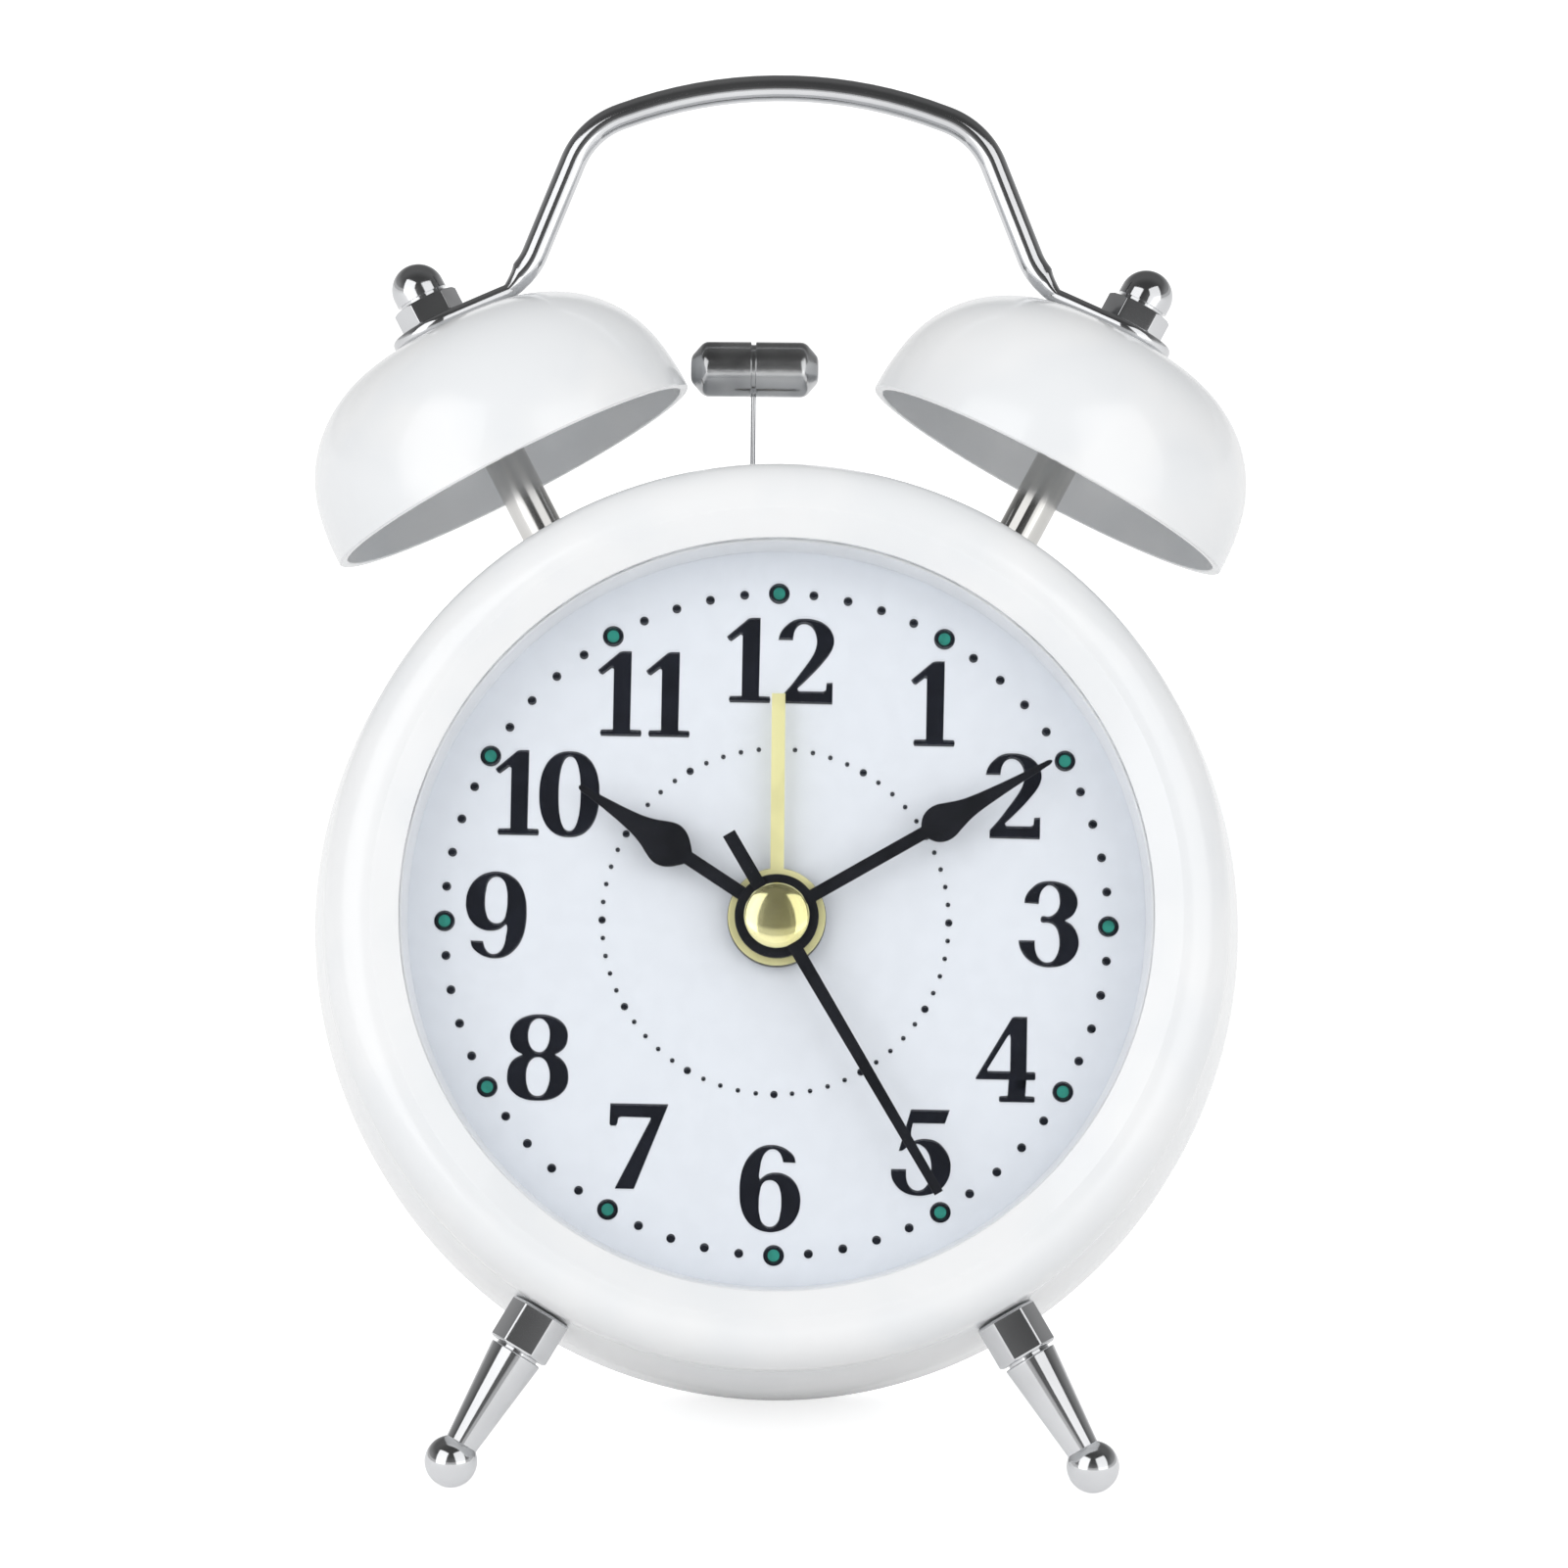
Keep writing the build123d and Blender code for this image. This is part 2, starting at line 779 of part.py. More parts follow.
with BuildPart() as bell_washers:
    for seat in bell_seats.values():
        with BuildSketch(seat.offset(post_shoulder)):
            Circle(washer_r)
            Circle(stud_r + stud_fit, mode=Mode.SUBTRACT)
        extrude(amount=washer_thick)
keep(bell_washers, "bell_washers")

with BuildPart() as acorn_nuts:
    for seat in bell_seats.values():
        hex_seat = seat.offset(tab_top)
        with BuildSketch(hex_seat):
            RegularPolygon(acorn_flats / 2, 6, major_radius=False)
        extrude(amount=acorn_hex)
        with BuildSketch(turning(hex_seat)):
            with BuildLine():
                dome_low = acorn_hex + acorn_collar
                dome_side = (acorn_dome_r, acorn_height - acorn_dome_r)
                Polyline(
                    (0, 0),
                    (acorn_collar_r, 0),
                    (acorn_collar_r, dome_low),
                    (acorn_dome_r, dome_low),
                    dome_side,
                )
                TangentArc(dome_side, (0, acorn_height), tangent=(0, 1))
                Line((0, acorn_height), (0, 0))
            make_face()
        revolve(axis=spin(hex_seat))
        with BuildSketch(hex_seat):
            Circle(stud_r + seat_gap)
        extrude(amount=acorn_hex + acorn_collar + seat_gap, mode=Mode.SUBTRACT)
keep(acorn_nuts, "acorn_nuts")

# Carrying handle: one bent wire with its ends pressed flat into eyes
wire_height = bell_height + wire_lift + wire_r
tilt_out = (cos(radians(bell_tilt)), -sin(radians(bell_tilt)))
tilt_up = (sin(radians(bell_tilt)), cos(radians(bell_tilt)))


def on_bell(out, height):
    """Point over the right bell in body coordinates: out from its axis, height over its mouth."""
    return (
        bell_mouth_x + out * tilt_out[0] + height * tilt_up[0],
        bell_mouth_y + out * tilt_out[1] + height * tilt_up[1],
    )


wire_foot = on_bell(-wire_start, wire_height)
wire_knee = on_bell(-wire_bend_out, wire_height)
wire_corner = (wire_knee[0] - handle_inset, wire_knee[1] + handle_leg)
wire_crown = (0, wire_corner[1] + handle_rise)
crown_turn = atan2(handle_rise, wire_corner[0])
corner_turn = atan2(handle_leg, handle_inset) - crown_turn
crown_run = sqrt(wire_corner[0] ** 2 + handle_rise**2) - handle_corner_r * tan(corner_turn / 2)
handle_crown_r = crown_run * handle_crown_share / tan(crown_turn)
right_points = [wire_foot, wire_knee, wire_corner]
wire_points = [(-x, y) for x, y in right_points] + [wire_crown] + right_points[::-1]
handle_plane = body.offset(bell_depth)
with BuildPart() as handle:
    with BuildLine(handle_plane) as wire_path:
        FilletPolyline(
            *wire_points,
            radius=[wire_bend_r, handle_corner_r, handle_crown_r, handle_corner_r, wire_bend_r],
        )
    with BuildSketch(wire_path.line ^ 0):
        Circle(wire_r)
    sweep(path=wire_path.line)
    for side, seat in bell_seats.items():
        inward = wire_start if side == "left" else -wire_start
        with BuildSketch(seat.offset(bell_height)):
            Circle(tab_eye_r)
            with Locations((inward, 0)):
                Circle(tab_neck_width / 2)
            make_hull()
        extrude(amount=tab_thick)
        with BuildSketch(seat.offset(bell_height)):
            Circle(stud_r + stud_fit)
        extrude(amount=tab_thick, mode=Mode.SUBTRACT)
keep(handle, "handle")

# Feet: hex root, cone and ball turned from one bar, with a stud and nut through the drum
barrel_drop = case_r - barrel_end_r
barrel_r = ((barrel_end - barrel_start) ** 2 + barrel_drop**2) / (2 * barrel_drop)
foot_wall = case_r - case_wall - barrel_r + sqrt(barrel_r**2 - (foot_depth - barrel_start) ** 2)
ball_start = foot_reach - sqrt(foot_ball_r**2 - foot_cone_tip_r**2)
floor_seat = Plane.XY
for side, seat in foot_seats.items():
    with BuildPart() as foot:
        with BuildSketch(seat.offset(foot_wall)):
            RegularPolygon(foot_hex_flats / 2, 6, major_radius=False)
        extrude(amount=foot_hex_end - foot_wall)
        chamfer(foot.faces().sort_by(spin(seat))[-1].edges(), foot_hex_chamfer)
        with BuildSketch(turning(seat)):
            cone_start = foot_hex_end + foot_neck
            with BuildLine():
                Polyline(
                    (0, foot_hex_end),
                    (foot_neck_r, foot_hex_end),
                    (foot_neck_r, cone_start),
                    (foot_cone_r, cone_start),
                    (foot_cone_tip_r, ball_start),
                    (0, ball_start),
                    (0, foot_hex_end),
                )
            make_face()
        revolve(axis=spin(seat))
        with BuildSketch(turning(seat)):
            with BuildLine():
                CenterArc((0, foot_reach), foot_ball_r, -90, 180)
                Line((0, foot_reach + foot_ball_r), (0, foot_reach - foot_ball_r))
            make_face()
        revolve(axis=spin(seat))
        add(case_outside, mode=Mode.SUBTRACT)
        with BuildSketch(seat.offset(foot_wall - nut_thick)):
            Circle(stud_r)
        extrude(amount=foot_hex_end - foot_wall + nut_thick)
        with BuildSketch(floor_seat):
            Rectangle(3 * case_r, 3 * case_r)
        extrude(amount=-foot_ball_r, mode=Mode.SUBTRACT)
    keep(foot, f"foot_{side}")
nuts("foot_nuts", [(seat, foot_wall) for seat in foot_seats.values()])

# Hammer: head on a wire stem in a lever that turns on a pin, with an armature facing the magnet
head_seat = Plane(
    origin=body.from_local_coords((hammer_rest_x, hammer_y, bell_depth)),
    x_dir=body.y_dir,
    z_dir=body.x_dir,
)
stem_seat = side_seat(stem_x, 0, bell_depth, 0)
pivot_seat = seat_at(0, pivot_y, bell_depth - lever_depth / 2)
with BuildPart() as hammer_head:
    half = head_length / 2
    groove_at = stem_x - hammer_rest_x
    with BuildSketch(turning(head_seat)):
        Polygon(
            (0, -half),
            (head_end_r, -half),
            (head_r, head_end - half),
            (head_r, groove_at - head_groove),
            (head_r - head_groove_depth, groove_at - head_groove),
            (head_r - head_groove_depth, groove_at + head_groove),
            (head_r, groove_at + head_groove),
            (head_r, half - head_end),
            (head_end_r, half),
            (0, half),
            align=None,
        )
    revolve(axis=spin(head_seat))
    with BuildSketch(stem_seat.offset(hammer_y - head_r)):
        Circle(stem_r + seat_gap)
    extrude(amount=head_r, mode=Mode.SUBTRACT)
keep(hammer_head, "hammer_head")

stem_low = pivot_y + lever_boss_r
with BuildPart() as hammer_stem:
    with BuildSketch(stem_seat.offset(stem_low)):
        Circle(stem_r)
    extrude(amount=hammer_y - stem_low)
keep(hammer_stem, "hammer_stem")

with BuildPart() as hammer_lever_arm:
    rib_low = pivot_y + lever_boss_r / 2
    rib_high = (armature_low + armature_high) / 2
    with BuildSketch(pivot_seat):
        Circle(lever_boss_r)
        Circle(pin_r + pin_fit, mode=Mode.SUBTRACT)
    extrude(amount=lever_depth)
    with BuildSketch(body.offset(bell_depth)):
        with Locations((stem_x, (rib_low + lever_arm_top) / 2)):
            Rectangle(lever_arm_width, lever_arm_top - rib_low)
        with Locations(((stem_x + lever_boss_r) / 2, (rib_low + rib_high) / 2)):
            Rectangle(lever_boss_r - stem_x, rib_high - rib_low)
    extrude(amount=lever_arm_width / 2, both=True)
    with BuildSketch(pivot_seat):
        Circle(pin_r + pin_fit)
    extrude(amount=lever_depth, mode=Mode.SUBTRACT)
    with BuildSketch(stem_seat.offset(stem_low)):
        Circle(stem_r + seat_gap)
    extrude(amount=lever_arm_top - stem_low, mode=Mode.SUBTRACT)
keep(hammer_lever_arm, "hammer_lever")

with BuildPart() as armature:
    with BuildSketch(body.offset(bell_depth)):
        with Locations((lever_boss_r + armature_thick / 2, (armature_low + armature_high) / 2)):
            Rectangle(armature_thick, armature_high - armature_low)
    extrude(amount=pole_r, both=True)
keep(armature, "armature")

magnet_seat = Plane(
    origin=body.from_local_coords((pole_left, magnet_y, bell_depth)), x_dir=body.y_dir, z_dir=body.x_dir
)
with BuildPart() as striker_bracket:
    with BuildSketch(body.offset(bracket_back)):
        Polygon(
            (bracket_left, bracket_low),
            (coil_right + bracket_thick, bracket_low),
            (coil_right + bracket_thick, lever_arm_top),
            (bracket_left, lever_arm_top),
            align=None,
        )
        with Locations(*bracket_posts):
            Circle(bracket_screw_r, mode=Mode.SUBTRACT)
        with Locations((0, pivot_y)):
            Circle(pin_r, mode=Mode.SUBTRACT)
    extrude(amount=bracket_thick)
    with BuildSketch(body.offset(bracket_back)):
        Polygon(
            (coil_right, magnet_y - coil_r),
            (coil_right + bracket_thick, magnet_y - coil_r),
            (coil_right + bracket_thick, magnet_y + coil_r),
            (coil_right, magnet_y + coil_r),
            align=None,
        )
    extrude(amount=bell_depth + coil_r - bracket_back)
    with BuildSketch(magnet_seat.offset(coil_right - pole_left)):
        Circle(core_r)
    extrude(amount=bracket_thick, mode=Mode.SUBTRACT)
keep(striker_bracket, "striker_bracket")

with BuildPart() as magnet_core:
    with BuildSketch(magnet_seat):
        Circle(pole_r)
    extrude(amount=pole_thick)
    with BuildSketch(magnet_seat.offset(pole_thick)):
        Circle(core_r)
    extrude(amount=coil_length + bracket_thick)
keep(magnet_core, "magnet_core")

with BuildPart() as magnet_coil:
    with BuildSketch(magnet_seat.offset(pole_thick)):
        Circle(coil_r)
        Circle(core_r, mode=Mode.SUBTRACT)
    extrude(amount=coil_length)
keep(magnet_coil, "magnet_coil")

with BuildPart() as hammer_pin:
    with BuildSketch(pivot_seat.offset(bracket_back - bell_depth + lever_depth / 2)):
        Circle(pin_r)
    extrude(amount=bell_depth + lever_depth / 2 - bracket_back + pin_r)
    with BuildSketch(pivot_seat.offset(lever_depth + pin_fit)):
        Circle(2 * pin_r)
    extrude(amount=pin_r / 2)
keep(hammer_pin, "hammer_pin")

# Movement housing
inner_size = movement_size - 2 * movement_wall
screw_reach = movement_size / 2 - movement_screw_inset
screw_places = [(x, y) for x in (-screw_reach, screw_reach) for y in (-screw_reach, screw_reach)]
centre_bore = second_arbor_r + arbor_fit
cannon_r = centre_bore + cannon_wall
hour_bore = cannon_r + arbor_fit
hour_tube_r = hour_bore + tube_wall
alarm_bore = hour_tube_r + arbor_fit
alarm_tube_r = alarm_bore + tube_wall
bush_front = dial_face + dial_nut_thick + bush_rise
with BuildPart() as movement_case:
    with BuildSketch(body.offset(cover_plate_front)):
        RectangleRounded(movement_size, movement_size, movement_corner)
        RectangleRounded(inner_size, inner_size, movement_corner - movement_wall, mode=Mode.SUBTRACT)
    extrude(amount=dial_back - cover_plate_front)
    with BuildSketch(body.offset(movement_front_inner)):
        RectangleRounded(inner_size, inner_size, movement_corner - movement_wall)
    extrude(amount=movement_plate)
    with BuildSketch(body.offset(bridge_front)):
        with Locations(*screw_places):
            Circle(movement_post_r)
    extrude(amount=movement_front_inner - bridge_front)
    with BuildSketch(body.offset(bridge_front)):
        with Locations(*screw_places):
            Circle(movement_screw_r)
    extrude(amount=movement_screw_bite + screw_fit, mode=Mode.SUBTRACT)
    with BuildSketch(body.offset(dial_back)):
        Circle(bush_r)
    extrude(amount=bush_front - dial_back)
    with BuildSketch(body.offset(movement_front_inner)):
        Circle(alarm_tube_r + arbor_fit)
    extrude(amount=bush_front - movement_front_inner, mode=Mode.SUBTRACT)
    with BuildSketch(body.offset(movement_front_inner)):
        with Locations(motion_place, alarm_place):
            Circle(pivot_r * 2 + arbor_fit)
    extrude(amount=movement_plate / 2, mode=Mode.SUBTRACT)
keep(movement_case, "movement_case")

with BuildPart() as dial_nut:
    with BuildSketch(body.offset(dial_face)):
        RegularPolygon(dial_nut_flats / 2, 6, major_radius=False)
        Circle(bush_r + seat_gap, mode=Mode.SUBTRACT)
    extrude(amount=dial_nut_thick)
keep(dial_nut, "dial_nut")

small_arbors = [fifth_place, rotor_place, third_place]
with BuildPart() as movement_bridge:
    with BuildSketch(body.offset(bridge_back)):
        RectangleRounded(
            inner_size - 2 * seat_gap, inner_size - 2 * seat_gap, movement_corner - movement_wall
        )
        Circle(cannon_r + arbor_fit, mode=Mode.SUBTRACT)
        with Locations(motion_place, alarm_place):
            Circle(set_arbor_r + arbor_fit, mode=Mode.SUBTRACT)
        with Locations(*small_arbors):
            Circle(pivot_r + arbor_fit, mode=Mode.SUBTRACT)
        with Locations(*screw_places):
            Circle(movement_screw_r + screw_fit, mode=Mode.SUBTRACT)
    extrude(amount=bridge_thick)
keep(movement_bridge, "movement_bridge")

stator_level = cover_plate_front + level_third + pinion_overlap
rotor_y = rotor_place[1]
stator_posts = [
    (stator_left + stator_post_r, rotor_y),
    (stator_right - stator_post_r, rotor_y + stator_half_height - stator_post_r),
]
with BuildPart() as movement_cover:
    with BuildSketch(body.offset(movement_back)):
        RectangleRounded(movement_size, movement_size, movement_corner)
        with Locations(motion_place, alarm_place):
            Circle(set_arbor_r + arbor_fit, mode=Mode.SUBTRACT)
    extrude(amount=movement_plate)
    with BuildSketch(body.offset(cover_plate_front)):
        with Locations(*screw_places):
            Circle(movement_post_r)
    extrude(amount=bridge_back - cover_plate_front)
    with BuildSketch(body.offset(cover_plate_front)):
        with Locations(*stator_posts):
            Circle(stator_post_r)
    extrude(amount=stator_level - cover_plate_front)
    with BuildSketch(body.offset(movement_back)):
        with Locations(*screw_places):
            Circle(movement_screw_r + screw_fit)
    extrude(amount=bridge_back - movement_back, mode=Mode.SUBTRACT)
    with BuildSketch(body.offset(cover_plate_front)):
        with Locations((0, 0), *small_arbors):
            Circle(pivot_r + arbor_fit)
    extrude(amount=-movement_plate / 2, mode=Mode.SUBTRACT)
keep(movement_cover, "movement_cover")
screws(
    "movement_screws",
    body.offset(movement_back),
    screw_places,
    movement_screw_r,
    bridge_front - movement_back + movement_screw_bite,
)

with BuildPart() as circuit_board:
    with BuildSketch(body.offset(cover_plate_front)):
        with Locations((0, board_y)):
            Rectangle(board_width, board_height)
    extrude(amount=board_thick)
keep(circuit_board, "circuit_board")

with BuildPart() as crystal_can:
    with BuildSketch(Plane(
        origin=body.from_local_coords((
            -crystal_length / 2, board_y - board_height / 4, cover_plate_front + board_thick + crystal_r
        )),
        x_dir=body.y_dir,
        z_dir=body.x_dir,
    )):
        Circle(crystal_r)
    extrude(amount=crystal_length)
keep(crystal_can, "crystal_can")

with BuildPart() as stator:
    with BuildSketch(body.offset(stator_level)):
        Polygon(
            (-stator_right, rotor_y - stator_half_height),
            (stator_right, rotor_y - stator_half_height),
            (stator_right, rotor_y + stator_half_height),
            (-stator_right, rotor_y + stator_half_height),
            align=None,
        )
        Polygon(
            (stator_left, rotor_y - stator_arm_half),
            (0, rotor_y - stator_arm_half),
            (0, rotor_y + stator_arm_half),
            (stator_left, rotor_y + stator_arm_half),
            align=None,
        )
        with Locations(rotor_place):
            Circle(magnet_rotor_r + stator_gap, mode=Mode.SUBTRACT)
    extrude(amount=stator_thick)
keep(stator, "stator")

with BuildPart() as stator_coil:
    coil_middle = (stator_coil_left + stator_coil_right) / 2
    coil_back = stator_level + (stator_thick - stator_coil_size) / 2
    with BuildSketch(body.offset(coil_back)):
        with Locations((coil_middle, rotor_y)):
            Rectangle(stator_coil_right - stator_coil_left, stator_coil_size)
    extrude(amount=stator_coil_size)
    with BuildSketch(body.offset(stator_level)):
        with Locations((coil_middle, rotor_y)):
            Rectangle(stator_coil_right - stator_coil_left, 2 * stator_arm_half)
    extrude(amount=stator_thick, mode=Mode.SUBTRACT)
keep(stator_coil, "stator_coil")


# Wheels
def gear_outline(module, teeth, phase, pinion=False):
    """Toothed outline on the current sketch plane, one tooth standing at the phase direction."""
    pitch_r = module * teeth / 2
    tip_r = pitch_r + module * (pinion_addendum_share if pinion else wheel_addendum_share)
    root_r = pitch_r - module * dedendum_share
    width = pi * module * (pinion_width_share if pinion else wheel_width_share) / 2
    Circle(root_r)
    with PolarLocations(0, teeth, start_angle=phase):
        Polygon(
            (root_r - module * dedendum_share / 2, -width * root_width_share),
            (pitch_r, -width),
            (tip_r, -width * tip_width_share),
            (tip_r, width * tip_width_share),
            (pitch_r, width),
            (root_r - module * dedendum_share / 2, width * root_width_share),
            align=None,
        )


def mesh_phase(phase, teeth, other_teeth, direction):
    """Direction of a tooth on the other wheel, meshing with a wheel that has one at phase."""
    return direction + 180 - (phase - direction) * teeth / other_teeth + 180 / other_teeth


def pair_module(distance, teeth, other_teeth):
    """Module of two wheels whose arbors stand at a distance."""
    return 2 * distance / (teeth + other_teeth)


def level(height):
    """Depth of a level inside the movement."""
    return cover_plate_front + height


def wheel(place, height, module, teeth, phase):
    """Thin wheel on an arbor."""
    with BuildSketch(seat_at(*place, level(height))) as outline:
        gear_outline(module, teeth, phase)
    extrude(outline.sketch, amount=wheel_thick)


def pinion(place, height, module, teeth, phase=0):
    """Pinion on an arbor, a little thicker than the wheel it drives."""
    with BuildSketch(seat_at(*place, level(height) - pinion_overlap)) as outline:
        gear_outline(module, teeth, phase, pinion=True)
    extrude(outline.sketch, amount=wheel_thick + 2 * pinion_overlap)


def rod(place, start, stop, radius, mode=Mode.ADD):
    """Round stretch of an arbor or a bore between two depths."""
    with BuildSketch(seat_at(*place, start)) as outline:
        Circle(radius)
    extrude(outline.sketch, amount=stop - start, mode=mode)


centre = (0, 0)
motion_module = pair_module(set_distance, cannon_teeth, motion_wheel_teeth)
hour_module = pair_module(set_distance, motion_pinion_teeth, hour_wheel_teeth)
alarm_module = pair_module(set_distance, alarm_pinion_teeth, alarm_wheel_teeth)
rotor_module = pair_module(rotor_distance, rotor_teeth, fifth_wheel_teeth)
second_module = pair_module(fifth_distance, fifth_pinion_teeth, second_wheel_teeth)
third_module = pair_module(third_distance, second_pinion_teeth, third_wheel_teeth)
centre_module = pair_module(third_distance, third_pinion_teeth, centre_wheel_teeth)
pivot_back = cover_plate_front - movement_plate / 2 + arbor_fit
pivot_front = movement_front_inner + movement_plate / 2 - arbor_fit
alarm_hand_back = bush_front + hand_gap
hour_hand_back = alarm_hand_back + hand_thick + hand_gap
minute_hand_back = hour_hand_back + hand_thick + hand_gap
second_hand_back = minute_hand_back + hand_thick + hand_gap
cap_back = second_hand_back + hand_thick
knob_front = cover_outer - knob_gap
knob_back = knob_front - knob_length


def set_arbor(place):
    """Arbor from inside a knob to its pivot in the movement's front plate."""
    rod(place, knob_back + knob_length / 3, movement_front_inner - arbor_fit, set_arbor_r)
    rod(place, movement_front_inner - arbor_fit, pivot_front, 2 * pivot_r)


with BuildPart() as motion_wheel:
    set_arbor(motion_place)
    wheel(
        motion_place,
        level_cannon,
        motion_module,
        motion_wheel_teeth,
        mesh_phase(0, cannon_teeth, motion_wheel_teeth, motion_direction),
    )
    pinion(motion_place, level_hour, hour_module, motion_pinion_teeth)
keep(motion_wheel, "motion_wheel")

with BuildPart() as alarm_pinion:
    set_arbor(alarm_place)
    pinion(alarm_place, level_alarm, alarm_module, alarm_pinion_teeth)
keep(alarm_pinion, "alarm_pinion")

for name, place in (("time_set_knob", motion_place), ("alarm_set_knob", alarm_place)):
    with BuildPart() as knob:
        with BuildSketch(seat_at(*place, knob_back)):
            Circle(knob_r - knob_rib_r)
            with PolarLocations(knob_r - knob_rib_r, knob_rib_count):
                Circle(knob_rib_r)
        extrude(amount=knob_length)
        with BuildSketch(seat_at(*place, knob_back)):
            Circle(knob_r / 2)
        extrude(amount=knob_chamfer, mode=Mode.SUBTRACT)
        rod(place, knob_back + knob_length / 3, knob_front, set_arbor_r, mode=Mode.SUBTRACT)
    keep(knob, name)

with BuildPart() as cannon_pinion:
    collar_front = level(level_centre) - arbor_fit
    rod(centre, level(level_centre) - 2 * pinion_overlap, collar_front, cannon_r + tube_wall)
    rod(centre, collar_front, minute_hand_back + hand_thick + hand_boss_rise, cannon_r)
    pinion(centre, level_cannon, motion_module, cannon_teeth)
    rod(centre, level(level_second), second_hand_back, centre_bore, mode=Mode.SUBTRACT)
keep(cannon_pinion, "cannon_pinion")

with BuildPart() as hour_wheel:
    rod(centre, level(level_hour), hour_hand_back + hand_thick + hand_boss_rise, hour_tube_r)
    wheel(
        centre,
        level_hour,
        hour_module,
        hour_wheel_teeth,
        mesh_phase(0, motion_pinion_teeth, hour_wheel_teeth, motion_direction + 180),
    )
    rod(centre, level(level_cannon), second_hand_back, hour_bore, mode=Mode.SUBTRACT)
keep(hour_wheel, "hour_wheel")

with BuildPart() as alarm_wheel:
    rod(centre, level(level_alarm), alarm_hand_back + hand_thick + hand_boss_rise, alarm_tube_r)
    wheel(
        centre,
        level_alarm,
        alarm_module,
        alarm_wheel_teeth,
        mesh_phase(0, alarm_pinion_teeth, alarm_wheel_teeth, alarm_direction + 180),
    )
    rod(centre, level(level_hour), second_hand_back, alarm_bore, mode=Mode.SUBTRACT)
keep(alarm_wheel, "alarm_wheel")

with BuildPart() as centre_wheel:
    wheel(
        centre,
        level_centre,
        centre_module,
        centre_wheel_teeth,
        mesh_phase(0, third_pinion_teeth, centre_wheel_teeth, third_direction + 180),
    )
    rod(centre, level(level_centre), level(level_bridge), cannon_r + arbor_fit, mode=Mode.SUBTRACT)
keep(centre_wheel, "centre_wheel")

with BuildPart() as third_wheel:
    rod(third_place, pivot_back, bridge_front, pivot_r)
    wheel(
        third_place,
        level_third,
        third_module,
        third_wheel_teeth,
        mesh_phase(0, second_pinion_teeth, third_wheel_teeth, third_direction),
    )
    pinion(third_place, level_centre, centre_module, third_pinion_teeth)
keep(third_wheel, "third_wheel")

with BuildPart() as second_wheel:
    rod(centre, pivot_back, level(level_rotor), pivot_r)
    rod(centre, level(level_rotor), cap_back + arbor_fit, second_arbor_r)
    wheel(
        centre,
        level_second,
        second_module,
        second_wheel_teeth,
        mesh_phase(0, fifth_pinion_teeth, second_wheel_teeth, fifth_direction + 180),
    )
    pinion(centre, level_third, third_module, second_pinion_teeth)
keep(second_wheel, "second_wheel")

with BuildPart() as fifth_wheel:
    rod(fifth_place, pivot_back, bridge_front, pivot_r)
    wheel(
        fifth_place,
        level_rotor,
        rotor_module,
        fifth_wheel_teeth,
        mesh_phase(0, rotor_teeth, fifth_wheel_teeth, fifth_direction + 180),
    )
    pinion(fifth_place, level_second, second_module, fifth_pinion_teeth)
keep(fifth_wheel, "fifth_wheel")

with BuildPart() as rotor:
    rod(rotor_place, pivot_back, bridge_front, pivot_r)
    pinion(rotor_place, level_rotor, rotor_module, rotor_teeth)
    magnet_back = stator_level + (stator_thick - magnet_rotor_thick) / 2
    rod(rotor_place, magnet_back, magnet_back + magnet_rotor_thick, magnet_rotor_r)
keep(rotor, "rotor")


# Hands, drawn pointing to twelve and then turned clockwise
def hand_points(angle, points):
    """Outline points of a hand turned clockwise by an angle, mirrored about its length."""
    turned = []
    for x, y in points + [(-x, y) for x, y in points[::-1]]:
        turned.append(
            (
                x * cos(radians(angle)) + y * sin(radians(angle)),
                y * cos(radians(angle)) - x * sin(radians(angle)),
            )
        )
    return turned


def bulb_hand(angle, stem_width, bulb_reach, bulb_r, length, hub_r, bore, back):
    """Hand with a round hub, a straight stem and a bulb that tapers to a point."""
    shoulder = bulb_reach + bulb_r / 2
    with BuildSketch(body.offset(back)) as outline:
        Circle(hub_r)
        Polygon(*hand_points(angle, [(stem_width / 2, 0), (stem_width / 2, bulb_reach)]), align=None)
        with Locations((bulb_reach * sin(radians(angle)), bulb_reach * cos(radians(angle)))):
            Circle(bulb_r)
        Polygon(
            *hand_points(
                angle,
                [(bulb_r * sin(pi / 3), shoulder), (stem_width / 4, length)],
            ),
            align=None,
        )
        Circle(bore, mode=Mode.SUBTRACT)
    extrude(outline.sketch, amount=hand_thick)


with BuildPart() as alarm_hand:
    with BuildSketch(body.offset(alarm_hand_back)):
        Circle(alarm_hub_r)
        Polygon(
            *hand_points(0, [(alarm_hand_width / 2, 0), (alarm_hand_width / 2, alarm_hand_length)]),
            align=None,
        )
        Circle(alarm_tube_r, mode=Mode.SUBTRACT)
    extrude(amount=hand_thick)
keep(alarm_hand, "alarm_hand")

with BuildPart() as hour_hand:
    bulb_hand(
        hour_hand_angle,
        hour_stem_width,
        hour_bulb_reach,
        hour_bulb_r,
        hour_hand_length,
        black_hub_r,
        hour_tube_r,
        hour_hand_back,
    )
keep(hour_hand, "hour_hand")

with BuildPart() as minute_hand:
    bulb_hand(
        minute_hand_angle,
        minute_stem_width,
        minute_bulb_reach,
        minute_bulb_r,
        minute_hand_length,
        black_hub_r,
        cannon_r,
        minute_hand_back,
    )
keep(minute_hand, "minute_hand")

